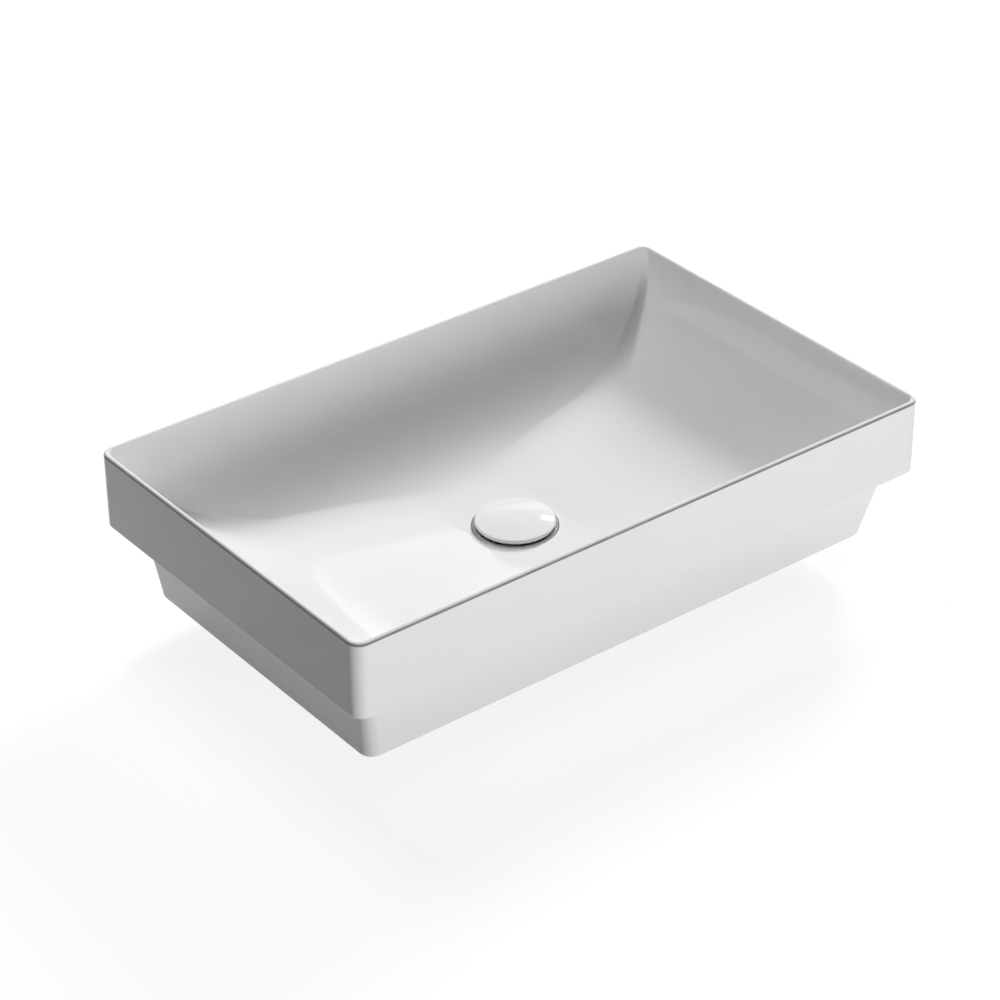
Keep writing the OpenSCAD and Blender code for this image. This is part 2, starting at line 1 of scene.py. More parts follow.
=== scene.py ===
"""Looks of the inset basin: its glazed body, its push-to-open waste and the studio round it.

Every size is in metres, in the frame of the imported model: +Z up, the waste on the Z axis, the
shoulder that rests on the counter at z = 0 and the front towards -Y.
"""
import math

import bmesh
import bpy
from mathutils import Matrix, Vector


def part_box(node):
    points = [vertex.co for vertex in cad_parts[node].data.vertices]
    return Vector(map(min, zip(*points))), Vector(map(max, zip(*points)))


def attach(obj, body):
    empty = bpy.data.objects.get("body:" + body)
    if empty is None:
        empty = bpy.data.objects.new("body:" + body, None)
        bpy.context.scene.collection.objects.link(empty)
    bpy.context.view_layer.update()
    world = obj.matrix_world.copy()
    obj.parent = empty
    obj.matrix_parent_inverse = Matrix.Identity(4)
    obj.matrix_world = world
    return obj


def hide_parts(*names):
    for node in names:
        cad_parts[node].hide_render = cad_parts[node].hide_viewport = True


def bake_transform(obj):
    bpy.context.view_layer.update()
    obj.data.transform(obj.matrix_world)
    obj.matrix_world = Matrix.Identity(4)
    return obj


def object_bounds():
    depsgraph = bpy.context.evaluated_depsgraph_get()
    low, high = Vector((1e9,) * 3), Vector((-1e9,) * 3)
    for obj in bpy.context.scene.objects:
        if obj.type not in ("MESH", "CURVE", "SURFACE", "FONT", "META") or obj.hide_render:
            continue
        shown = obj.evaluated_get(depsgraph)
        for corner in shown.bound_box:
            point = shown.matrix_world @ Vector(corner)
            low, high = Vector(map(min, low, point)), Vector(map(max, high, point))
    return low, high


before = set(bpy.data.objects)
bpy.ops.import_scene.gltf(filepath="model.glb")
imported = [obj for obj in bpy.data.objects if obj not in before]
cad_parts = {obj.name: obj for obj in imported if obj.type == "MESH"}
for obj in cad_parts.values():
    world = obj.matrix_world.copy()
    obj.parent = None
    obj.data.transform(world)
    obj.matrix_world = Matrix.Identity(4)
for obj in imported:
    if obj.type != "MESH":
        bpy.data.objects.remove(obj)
cad_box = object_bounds()

MM = 0.001
TURN = 2 * math.pi

# Basin: the outer sizes come from the frame, and the rest repeats the body's construction
basin_low, basin_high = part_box("basin")
HALF_L = basin_high.x
HALF_W = basin_high.y
RIM_Z = basin_high.z
FOOT_Z = basin_low.z
CORNER_R = 12 * MM
RIM_T = 5 * MM
CREST_W = 0.4 * MM
SHOULDER_EDGE_R = 1.6 * MM
SHOULDER_FILLET_R = 1.5 * MM
END_STEP = 17 * MM
FRONT_STEP = 15 * MM
BACK_STEP = 30 * MM
END_TAPER = 13 * MM
FRONT_TAPER = 16 * MM
BACK_TAPER = 1 * MM
FOOT_EDGE_R = 2 * MM
FOOT_INNER_R = 1.2 * MM
BARE_FOOT_H = 0.02 * MM
WALL_T = 9 * MM
BOWL_T = 9 * MM
LEDGE_T = 9 * MM
BOWL_H = 101 * MM
END_LEAN = math.radians(15)
END_BEND_R = 112 * MM
END_FALL = math.radians(5.5)
SIDE_LEAN = math.radians(26)
SIDE_BEND_R = 95 * MM
SIDE_FALL = math.radians(1.5)
BEND_SHARE = 0.97
EASE_ON_FLOOR = 1.25
EASE_ON_WALL = 1.25
BEND_SLACK = 1
VALLEY_POWER = 3

# Waste fitting
waste_low, waste_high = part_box("waste_body")
FLANGE_R = waste_high.x
FLANGE_Z = waste_high.z
TAIL_Z = waste_low.z
FLANGE_T = 2.4 * MM
FLANGE_EDGE_R = 0.8 * MM
FLANGE_RIM_W = 3.4 * MM
FLANGE_SEAL_W = 4.9 * MM
DISH_H = 9 * MM
TAIL_R = 20.95 * MM
BORE_R = 18.4 * MM
RELIEF_R = 20.2 * MM
RELIEF_H = 2 * MM
LOWER_THREAD_H = 36 * MM
RECESS_GAP = 0.5 * MM
HOLE_R = 23 * MM
BOSS_R = 37 * MM
BOSS_FILLET_R = 4 * MM
BOSS_H = 16 * MM
SPIDER_T = 4 * MM
SPIDER_HUB_R = 7.5 * MM
SPOKE_W = 2.6 * MM
SPOKE_N = 4

# Threads: pipe threads of the tail and its nut, fine threads of the stud and its nut
FIT_GAP = 0.05 * MM
PIPE_PITCH = 2.309 * MM
PIPE_DEPTH = 1.2 * MM
FINE_PITCH = 1.0 * MM
FINE_DEPTH = 0.5 * MM
THREAD_CREST_SHARE = 0.12
STEM_R = 3.5 * MM
STUD_R = 4 * MM

# Backnut, cap, cartridge
NUT_ROOT_R = 27 * MM
LUG_W = 10 * MM
LUG_N = 6
LUG_EASE_SHARE = 1 / 4
CAP_EDGE_H = 2.9 * MM
CAP_EDGE_R = 1.5 * MM
CARRIER_T = 1.8 * MM
CARRIER_HUB_R = 6 * MM
SEAL_W = 3 * MM
SLEEVE_R = 7.8 * MM
SLEEVE_BORE_R = 6.3 * MM
SLEEVE_FLOOR_T = 1.4 * MM
SLEEVE_AF = 15 * MM
SLEEVE_HEX_H = 4 * MM
COLLAR_T = 3 * MM
RIB_N = 4
RIB_W = 2.2 * MM
RIB_H = 1 * MM
ROTOR_LUG_H = 3 * MM
FACE_GAP = 0.2 * MM
WASHER_GAP = 0.1 * MM
SPIGOT_R = 2 * MM
STEM_NUT_AF = 11 * MM
CARTRIDGE_NUT_AF = 13 * MM
GRIP_R = 7.4 * MM
WIRE_D = 0.8 * MM
COIL_N = 4

# Small roundings and marks
NUT_EASE = 0.6 * MM
RUBBER_EASE = 0.3 * MM
THIN_EASE = 0.12 * MM
COLLAR_EASE = 0.15 * MM
SPOKE_EDGE_R = 0.4 * MM
GRIP_RING_H = 0.5 * MM
GRIP_RING_START_SHARES = (0.3, 0.55)
GRIP_RING_FLANK_SHARE = 0.04
GRIP_RING_W_SHARE = 0.14
KNURL_DEPTH = 0.25 * MM
KNURL_N = 48
POLE_R = 0.3 * MM
HEXAGON_FACE_SHARE = 0.96
HEXAGON_CHAMFER = math.radians(30)
END_COIL_SHARE = 1.03
LONGEST_EASE_SHARE = 1 / 2.2
WELD = 0.001 * MM

# Derived places of the basin and the waste
SPRING_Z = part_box("cartridge_spring")[0].z
SLEEVE_Z = SPRING_Z - SLEEVE_FLOOR_T
DISH_R = FLANGE_R - FLANGE_RIM_W
FLOOR_Z = RIM_Z - BOWL_H
NOSE_R = (RIM_T - CREST_W) / 2
NOSE_Z = RIM_Z - NOSE_R
RECESS_R = FLANGE_R + RECESS_GAP
EYE_R = RECESS_R + RECESS_GAP
SEAT_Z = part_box("flange_seal")[0].z
BOSS_Z = FLOOR_Z - BOSS_H
THROAT_Z = FLANGE_Z - DISH_H
NECK_R = FLANGE_R - FLANGE_SEAL_W - RECESS_GAP
RECESS_HOLE_R = NECK_R + RECESS_GAP
NECK_Z = THROAT_Z - FLANGE_T
RELIEF_Z = TAIL_Z + LOWER_THREAD_H
UPPER_THREAD_Z = RELIEF_Z + RELIEF_H
INSIDE_DROP = 4 * LEDGE_T

# Steps of the meshes
CORNER_STEPS = 14
BOWL_LEVELS = 110
LEVEL_POWER = 2.0
ROUND_STEPS = 6
BEND_STEPS = 400
INSIDE_STEPS = 12
UNDERSIDE_LEVELS = 40
SMALL_STEPS = 4
CAP_STEPS = 10
DOME_STEPS = 24
ROUND_N = 128
FINE_N = 192
HEXAGON_N = 144
RINGS_PER_PITCH = 8
COIL_STEPS = 48
WIRE_SIDES = 16

# The painted shade line on the rim's outer edge: how it fades in and out by the turn from upright, in
# degrees, and its height on the wall below. Then the painted shade in the bowl's creases
EDGE_START_FADE = (20, 50)
EDGE_END_FADE = (97, -14)
EDGE_LINE_H = 0.6 * MM
CREASE_LOW = -14 * MM
CREASE_HIGH = 56 * MM
CREASE_FADE = 22 * MM
CREASE_MARGIN = 1 * MM
CREASE_FULLNESS = 1.6

# The values between which most of a noise lies
NOISE_LOW = 0.3
NOISE_HIGH = 0.7

# Colours
GLAZE_TONE = (0.868, 0.87, 0.874)
GLAZE_SHADE = (0.853, 0.855, 0.859)
# Painted shade: a near-black line along the rim's outer edge, and a darker grey in the bowl's creases
PAINTED_RIM_SHADE = (0.17, 0.17, 0.17)
PAINTED_CREASE_SHADE = (0.64, 0.64, 0.643)

# Studio: the camera is fitted to the photograph. A lamp is its name, azimuth, elevation, distance,
# size, power and whether the glaze mirrors it
CAMERA_AT = Vector((-1.4414, -1.8423, 1.4740))
CAMERA_YAW = 0.6584
CAMERA_PITCH = 0.5637
CAMERA_ROLL = -0.0081
CAMERA_LENS = 115.47
CAMERA_SENSOR_W = 36
LAMPS = [
    ("right", 30, 30, 4.0, 1.1, 143, False),
    ("above", 90, 60, 2.5, 1.0, 32, False),
    ("front", 270, 12, 2.5, 1.0, 9, False),
    ("front_low", 270, 4, 2.5, 0.4, 28, False),
    ("window", 42.8, 30.4, 0.99, 0.045, 0.058, True),
]
WALL_TOP = (0.44, 0.48)
CEILING_LEVEL = 0.4
CARD_AZIMUTH = math.radians(42)
CARD_EDGE = (0.74, 0.84)
CARD_LEVEL = 0.3
AMBIENT_LEVEL = 0.0
FLOOR_HALF = 8
FLOOR_TONE = 0.5
SEEN_FLOOR_TONE = 0.2
FLOOR_GLOW = 0.86


# Shared mesh making

def placed(name, data):
    """A new object in the scene."""
    obj = bpy.data.objects.new(name, data)
    bpy.context.scene.collection.objects.link(obj)
    return obj


def grow(bm, loop, points):
    """Extrudes a closed loop of vertices and puts the new loop at the points."""
    n = len(loop)
    edges = [bm.edges.get((loop[i], loop[(i + 1) % n])) for i in range(n)]
    made = set(bmesh.ops.extrude_edge_only(bm, edges=edges)["geom"])
    fresh = []
    for vert, point in zip(loop, points):
        new = next(e.other_vert(vert) for e in vert.link_edges if e.other_vert(vert) in made)
        new.co = point
        fresh.append(new)
    return fresh


def skin(bm, stations, closed):
    """Draws a surface through loops of points. closed joins the last loop to the first, and otherwise
    the first and the last are filled."""
    first = bmesh.ops.create_circle(bm, cap_ends=False, segments=len(stations[0]), radius=1)["verts"]
    for vert, point in zip(first, stations[0]):
        vert.co = point
    loop = first
    for points in stations[1:]:
        loop = grow(bm, loop, points)
    n = len(loop)
    ends = [[bm.edges.get((end[i], end[(i + 1) % n])) for i in range(n)] for end in (first, loop)]
    if closed:
        bmesh.ops.bridge_loops(bm, edges=ends[0] + ends[1])
    else:
        for edges in ends:
            bmesh.ops.edgeloop_fill(bm, edges=edges)


def piece(name, bm, body, nodes, materials, sharp=35):
    """Turns a bmesh into a finished piece that rides on a body, if one is given, and stands for CAD
    nodes. Edges that turn by more than sharp degrees stay sharp."""
    bmesh.ops.remove_doubles(bm, verts=bm.verts, dist=WELD)
    bmesh.ops.recalc_face_normals(bm, faces=bm.faces)
    for face in bm.faces:
        face.smooth = True
    for edge in bm.edges:
        edge.smooth = len(edge.link_faces) == 2 and edge.calc_face_angle(0) < math.radians(sharp)
    mesh = bpy.data.meshes.new(name)
    bm.to_mesh(mesh)
    bm.free()
    obj = placed(name, mesh)
    for material in materials:
        mesh.materials.append(material)
    normals = obj.modifiers.new("even normals", "WEIGHTED_NORMAL")
    normals.keep_sharp = True
    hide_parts(*nodes)
    if body:
        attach(obj, body)
    return obj


def arc(start, end, steps=ROUND_STEPS):
    """Angles from start to end in degrees, both included, as radians."""
    return [math.radians(start + (end - start) * i / steps) for i in range(steps + 1)]


def smooth_step(x):
    """A soft step: 0 up to 0, 1 from 1, and a smooth rise between."""
    x = min(max(x, 0), 1)
    return x * x * (3 - 2 * x)


def fade(x, start, width):
    """A smooth rise from 0 at the start to 1 a width past it. The width is below zero where the rise
    runs the other way."""
    return smooth_step((x - start) / width)


# Bowl profiles: a leaning wall, a bend and a falling floor

def lines_meet(wall, lean, fall, offset):
    """Where the wall's line and the floor's line cross, both moved into the bowl by an offset."""
    wall_x, wall_z = -math.cos(lean), math.sin(lean)
    floor_x, floor_z = -math.sin(fall), math.cos(fall)
    wall_reach = wall_x * wall + wall_z * NOSE_Z + offset
    floor_reach = floor_x * EYE_R + floor_z * FLOOR_Z + offset
    spread = wall_x * floor_z - wall_z * floor_x
    return ((wall_reach * floor_z - wall_z * floor_reach) / spread,
            (wall_x * floor_reach - wall_reach * floor_x) / spread)


def bowl_profile(wall, lean, bend, fall):
    """Half of the bowl's section: its slopes, its bend's centre and radius, and its eased bend."""
    foot = lines_meet(wall, lean, fall, 0)
    wall_run = (NOSE_Z - foot[1]) / math.cos(lean)
    floor_run = (foot[0] - EYE_R) / math.cos(fall)
    widest = BEND_SHARE * min(wall_run, floor_run) / math.tan((math.pi / 2 - lean - fall) / 2)
    r = min(bend, widest)
    across, up = lines_meet(wall, lean, fall, r)
    places = eased_bend(wall, lean, fall, r)
    return {"across": across, "up": up, "r": r, "lean": lean, "fall": fall, "wall": wall,
            "places": places}


def eased_bend(wall, lean, fall, r):
    """(height, half width) places down a bend that runs into its wall and floor without a jump in
    curvature: a curve whose first three and last three handles lie on the wall and on the floor."""
    x, z = lines_meet(wall, lean, fall, 0)
    half_turn = (math.pi / 2 - lean - fall) / 2
    reach = r * math.tan(half_turn)
    foot = Vector((x, z))
    up_wall = min(reach * EASE_ON_WALL, (NOSE_Z - z) / math.cos(lean) * BEND_SHARE)
    on_floor = min(reach * EASE_ON_FLOOR, (x - EYE_R) / math.cos(fall) * BEND_SHARE)
    start = Vector((math.sin(lean), math.cos(lean))) * up_wall
    end = -Vector((math.cos(fall), math.sin(fall))) * on_floor
    # The middle of the curve lies (16 - 25 * pull) / 32 of start + end from the foot. The slack keeps
    # it that many 32nds farther off than the middle of a plain bend, which is at the apex
    apex = r * (1 / math.cos(half_turn) - 1)
    pull = (16 - BEND_SLACK - 32 * apex / (start + end).length) / 25
    handles = [start, start * (1 - pull), start * (1 - 2 * pull),
               end * (1 - 2 * pull), end * (1 - pull), end]
    places = []
    for i in range(BEND_STEPS + 1):
        t = i / BEND_STEPS
        spot = foot.copy()
        for k, handle in enumerate(handles):
            spot += handle * math.comb(5, k) * t ** k * (1 - t) ** (5 - k)
        places.append((spot.y, spot.x))
    return places


END = bowl_profile(HALF_L - RIM_T, END_LEAN, END_BEND_R, END_FALL)
SIDE = bowl_profile(HALF_W - RIM_T, SIDE_LEAN, SIDE_BEND_R, SIDE_FALL)


def half_at(profile, z, t):
    """Half width of the bowl at a height, with the surface moved out by a thickness. The glazed side
    has the eased bend, and the underside a plain one."""
    r, lean, fall, up = profile["r"] + t, profile["lean"], profile["fall"], profile["up"]
    top, bottom = up - r * math.sin(lean), up - r * math.cos(fall)
    if t == 0:
        top, bottom = profile["places"][0][0], profile["places"][-1][0]
    if z >= top:
        return profile["wall"] + t / math.cos(lean) - (NOSE_Z - z) * math.tan(lean)
    if z <= bottom:
        return EYE_R + (z - FLOOR_Z + t / math.cos(fall)) / math.tan(fall)
    if t == 0:
        return between(profile["places"], z)
    return profile["across"] + math.sqrt(max(r * r - (z - up) ** 2, 0))


def between(places, z):
    """Half width at a height, between the two nearest of the falling places."""
    for (high, wide), (low, narrow) in zip(places, places[1:]):
        if z >= low:
            return narrow + (wide - narrow) * (z - low) / (high - low)
    return places[-1][1]


def valley_r(z, low):
    """Corner radius of the bowl's section: tight at the rim, and a full circle at the waste."""
    tight = CORNER_R - RIM_T
    return tight + (EYE_R - tight) * ((NOSE_Z - z) / (NOSE_Z - low)) ** VALLEY_POWER


# Corner, step and angle of every point on a ring
RING_PLACES = [(corner, i / CORNER_STEPS) for corner in range(4) for i in range(CORNER_STEPS + 1)]


def ring_point(place, hx, hy, r, z, shift=0.0):
    """One place on a rounded rectangle with half sizes hx and hy and corners of radius r."""
    corner, share = place
    a = math.radians(90 * (corner + share))
    sx = 1 if corner in (0, 3) else -1
    sy = 1 if corner < 2 else -1
    return Vector((sx * (hx - r) + r * math.cos(a), shift + sy * (hy - r) + r * math.sin(a), z))


def ring(hx, hy, r, z, shift=0.0):
    """Points round a rounded rectangle at a height, moved back by a shift."""
    return [ring_point(place, hx, hy, r, z, shift) for place in RING_PLACES]


def box_ring(inset, z):
    """The rim box's outline at a height, set in all round."""
    return ring(HALF_L - inset, HALF_W - inset, max(CORNER_R - inset, CORNER_R / 4), z)


def inset_ring(z, wall, least_back=0.0):
    """The inset body's outline at a height, set in by a wall."""
    share = z / FOOT_Z
    front = HALF_W - FRONT_STEP - FRONT_TAPER * share - wall
    back = max(HALF_W - BACK_STEP - BACK_TAPER * share - wall, least_back)
    return ring(HALF_L - END_STEP - END_TAPER * share - wall, (front + back) / 2,
                CORNER_R - wall / 2, z, (back - front) / 2)


def bowl_ring(z, t):
    """The bowl's section at a height, moved out by a thickness."""
    low = FLOOR_Z - t
    hx = half_at(END, z, t)
    hy = half_at(SIDE, z, t)
    return ring(hx, hy, min(hx, hy, valley_r(z, low) + t), z)


def bowl_stations():
    """The bowl from the rim's rounding down to the waste's recess."""
    levels = [(1 - i / BOWL_LEVELS) ** LEVEL_POWER for i in range(BOWL_LEVELS)]
    rings = [bowl_ring(FLOOR_Z + (NOSE_Z - FLOOR_Z) * level, 0) for level in levels]
    rings.append(ring(EYE_R, EYE_R, EYE_R, FLOOR_Z))
    for a in arc(0, 90, SMALL_STEPS)[1:]:
        r = RECESS_R + RECESS_GAP * (1 - math.sin(a))
        rings.append(ring(r, r, r, FLOOR_Z - RECESS_GAP * (1 - math.cos(a))))
    return rings


def hole_stations():
    """The recess, its cone and the waste hole, from the top down."""
    cone = RECESS_HOLE_R - HOLE_R
    places = [
        (RECESS_R, SEAT_Z + RECESS_GAP), (RECESS_R - RECESS_GAP, SEAT_Z), (RECESS_HOLE_R, SEAT_Z),
        (HOLE_R, SEAT_Z - cone), (HOLE_R, BOSS_Z + 2 * RECESS_GAP), (HOLE_R + 2 * RECESS_GAP, BOSS_Z)]
    return [ring(r, r, r, z) for r, z in places]


def boss_stations():
    """The boss round the waste hole, from its underside to the bowl's."""
    under = FLOOR_Z - BOWL_T
    rings = []
    for a in arc(0, 90, SMALL_STEPS):
        r = BOSS_R - FOOT_EDGE_R * (1 - math.sin(a))
        rings.append(ring(r, r, r, BOSS_Z + FOOT_EDGE_R * (1 - math.cos(a))))
    for a in arc(0, 90, SMALL_STEPS):
        r = BOSS_R + BOSS_FILLET_R * (1 - math.cos(a))
        rings.append(ring(r, r, r, under - BOSS_FILLET_R * (1 - math.sin(a))))
    return rings


def underside_stations():
    """The bowl's underside, from the boss out and up to where it meets the walls."""
    low = FLOOR_Z - BOWL_T
    wall_x, wall_y = HALF_L - WALL_T, HALF_W - WALL_T
    top_x = NOSE_Z - (HALF_L - RIM_T + BOWL_T / math.cos(END_LEAN) - wall_x) / math.tan(END_LEAN)
    top_y = NOSE_Z - (HALF_W - RIM_T + BOWL_T / math.cos(SIDE_LEAN) - wall_y) / math.tan(SIDE_LEAN)
    tops = []
    for corner, share in RING_PLACES:
        towards_y = share if corner in (0, 2) else 1 - share
        tops.append(top_x + (top_y - top_x) * smooth_step(towards_y))
    rings = [ring(EYE_R + BOWL_T, EYE_R + BOWL_T, EYE_R + BOWL_T, low)]
    for k in range(1, UNDERSIDE_LEVELS + 1):
        points = []
        for place, top in zip(RING_PLACES, tops):
            z = low + (top - low) * (k / UNDERSIDE_LEVELS) ** LEVEL_POWER
            hx = min(half_at(END, z, BOWL_T), wall_x)
            hy = min(half_at(SIDE, z, BOWL_T), wall_y)
            points.append(ring_point(place, hx, hy, min(hx, hy, valley_r(z, low) + BOWL_T), z))
        rings.append(points)
    rings.append([Vector((p.x, p.y, LEDGE_T)) for p in box_ring(WALL_T, LEDGE_T)])
    return rings


def inset_stations():
    """The inset body, from the ledge down its inside, round the foot and up to the shoulder. Behind the
    bowl its inside starts within the bowl's wall, because the two run together there."""
    rings = []
    for i in range(INSIDE_STEPS + 1):
        z = LEDGE_T - INSIDE_DROP * i / INSIDE_STEPS
        rings.append(inset_ring(z, WALL_T, half_at(SIDE, z, BOWL_T / 2)))
    for a in arc(0, 90, SMALL_STEPS):
        rings.append(inset_ring(FOOT_Z + FOOT_INNER_R * (1 - math.sin(a)),
                                WALL_T - FOOT_INNER_R * (1 - math.cos(a))))
    for a in arc(0, 90):
        rings.append(inset_ring(FOOT_Z + FOOT_EDGE_R * (1 - math.cos(a)),
                                FOOT_EDGE_R * (1 - math.sin(a))))
    for a in arc(0, 90):
        rings.append(inset_ring(-SHOULDER_FILLET_R * (1 - math.sin(a)),
                                -SHOULDER_FILLET_R * (1 - math.cos(a))))
    return rings


def rim_stations():
    """The rim box, from the shoulder's edge up its walls and over the rim."""
    rings = []
    for a in arc(0, 90):
        rings.append(box_ring(SHOULDER_EDGE_R * (1 - math.sin(a)), SHOULDER_EDGE_R * (1 - math.cos(a))))
    rings.append(box_ring(0, NOSE_Z - EDGE_LINE_H))
    for a in arc(0, 90, 2 * ROUND_STEPS):
        rings.append(box_ring(NOSE_R * (1 - math.cos(a)), NOSE_Z + NOSE_R * math.sin(a)))
    for a in arc(90, 0, 2 * ROUND_STEPS)[:-1]:
        out = NOSE_R * (1 - math.cos(a))
        rings.append(ring(HALF_L - RIM_T + out, HALF_W - RIM_T + out, CORNER_R - RIM_T + out,
                          NOSE_Z + NOSE_R * math.sin(a)))
    return rings


def crease_share(x, y, z):
    """How far a place lies in the crease between two walls of the bowl, as the mask of its painted
    shade: 1 in its middle, 0 outside.
    """
    if not CREASE_LOW < z < CREASE_HIGH:
        return 0
    hx, hy = half_at(END, z, 0), half_at(SIDE, z, 0)
    r = min(hx, hy, valley_r(z, FLOOR_Z))
    if x > hx + CREASE_MARGIN or y > hy + CREASE_MARGIN or x < hx - r or y < hy - r:
        return 0
    across = math.atan2(y - hy + r, x - hx + r) / (math.pi / 2)
    ends = fade(z, CREASE_LOW, CREASE_FADE) * fade(z, CREASE_HIGH, -CREASE_FADE)
    return smooth_step(CREASE_FULLNESS * (1 - abs(2 * across - 1))) * ends


def make_basin(glaze, biscuit):
    """The glazed body, one closed surface from the waste hole round the foot and over the rim. Its last
    material is the bare foot's."""
    bm = bmesh.new()
    skin(bm, boss_stations() + underside_stations() + inset_stations() + rim_stations()
         + bowl_stations() + hole_stations(), closed=True)
    # Vertex masks of painted shade: the dark line on the rim's outer edge and the darker grey in the
    # bowl's creases
    edge = bm.verts.layers.float.new("painted_rim_shade")
    crease = bm.verts.layers.float.new("crease")
    for vert in bm.verts:
        x, y, z = abs(vert.co.x), abs(vert.co.y), vert.co.z
        past_x, past_y = x - HALF_L + CORNER_R, y - HALF_W + CORNER_R
        inside = min(max(past_x, past_y), 0)
        out = math.hypot(max(past_x, 0), max(past_y, 0)) + inside - CORNER_R + RIM_T / 2
        turn = math.degrees(math.atan2(out, z - NOSE_Z))
        on_rim = out > 0 and z > NOSE_Z - NOSE_R
        vert[edge] = fade(turn, *EDGE_START_FADE) * fade(turn, *EDGE_END_FADE) if on_rim else 0
        vert[crease] = crease_share(x, y, z)
    for face in bm.faces:
        face.material_index = int(face.calc_center_median().z < FOOT_Z + BARE_FOOT_H)
    basin = piece("basin_body", bm, "fixed", ["basin"], [glaze, biscuit])


# Round pieces

def circle(r, z, n=ROUND_N):
    """Points round the Z axis. r is a radius, or a function of the angle."""
    reach = r if callable(r) else lambda _: r
    angles = [TURN * i / n for i in range(n)]
    return [Vector((reach(a) * math.cos(a), reach(a) * math.sin(a), z)) for a in angles]


def turned(name, profile, body, nodes, materials, closed=True, n=ROUND_N, **more):
    """A piece turned round the Z axis through (radius, height) places."""
    bm = bmesh.new()
    skin(bm, [circle(r, z, n) for r, z in profile], closed)
    return piece(name, bm, body, nodes, materials, **more)


def eased(corners, r):
    """(radius, height) places of a closed outline with every corner rounded by r."""
    places = []
    n = len(corners)
    for i in range(n):
        here = Vector(corners[i])
        before = Vector(corners[i - 1]) - here
        after = Vector(corners[(i + 1) % n]) - here
        cut = min(r, before.length * LONGEST_EASE_SHARE, after.length * LONGEST_EASE_SHARE)
        p, q = here + before.normalized() * cut, here + after.normalized() * cut
        for k in range(SMALL_STEPS + 1):
            t = k / SMALL_STEPS
            places.append(tuple(p * (1 - t) ** 2 + here * 2 * t * (1 - t) + q * t ** 2))
    return places


def thread(crest_r, depth, pitch, origin, ends, z):
    """Radius as a function of the angle on a thread that fades out at both ends."""
    full = fade(z, ends[0], pitch) * fade(z, ends[1], -pitch)

    def reach(a):
        phase = ((z - origin) / pitch - a / TURN) % 1
        flank = min(max((abs(2 * phase - 1) - THREAD_CREST_SHARE) / (1 - 2 * THREAD_CREST_SHARE), 0), 1)
        return crest_r - depth * full * flank

    return reach


def threaded(crest_r, depth, pitch, origin, ends):
    """Stations of a thread between two heights, from the first height to the second."""
    count = math.ceil(abs(ends[1] - ends[0]) / pitch * RINGS_PER_PITCH)
    span_z = (min(ends), max(ends))
    heights = [ends[0] + (ends[1] - ends[0]) * i / count for i in range(count + 1)]
    return [(thread(crest_r, depth, pitch, origin, span_z, z), z) for z in heights]


def hexagon(flats, limit_r):
    """Radius as a function of the angle on a hexagon whose corners a cone cuts off at limit_r."""

    def reach(a):
        return min(flats / 2 / math.cos(a % (TURN / 6) - TURN / 12), limit_r)

    return reach


def hexagon_stations(flats, low, high):
    """A hexagon's outside between two heights, with its corners chamfered at both ends."""
    corner_r = flats / 2 / math.cos(TURN / 12)
    face_r = flats / 2 * HEXAGON_FACE_SHARE
    drop = (corner_r - face_r) * math.tan(HEXAGON_CHAMFER)
    cuts = [(face_r + (corner_r - face_r) * k / SMALL_STEPS, drop * k / SMALL_STEPS)
            for k in range(SMALL_STEPS + 1)]
    lower = [(hexagon(flats, limit), low + z) for limit, z in cuts]
    upper = [(hexagon(flats, limit), high - z) for limit, z in reversed(cuts)]
    return lower + upper


def on_lug(a, count, half):
    """1 at an angle on one of count lugs and 0 between them, with soft edges. half is half of a lug's
    width, as an angle."""
    off = abs((a * count / TURN + 0.5) % 1 - 0.5) * TURN / count
    return smooth_step((half - off) / (half * LUG_EASE_SHARE) + 0.5)


def lugged(root_r, lug_r, set_in=0.0):
    """Radius as a function of the angle on the backnut's lugs."""
    half = math.asin(LUG_W / 2 / lug_r)

    def reach(a):
        return root_r + (lug_r - root_r) * on_lug(a, LUG_N, half) - set_in

    return reach


def washer(name, node, body, inner_r, ease, material):
    """A plain ring in a node's place, with every edge rounded."""
    low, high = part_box(node)
    outline = [(inner_r, low.z), (high.x, low.z), (high.x, high.z), (inner_r, high.z)]
    ring_piece = turned(name, eased(outline, ease), body, [node], [material])


def hex_nut(name, node, body, flats, bore, material):
    """A nut in a node's place. bore holds the stations of its hole, from the top down."""
    low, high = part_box(node)
    outside = hexagon_stations(flats, low.z, high.z)
    nut = turned(name, outside + bore, body, [node], [material], n=HEXAGON_N)


# Waste fitting

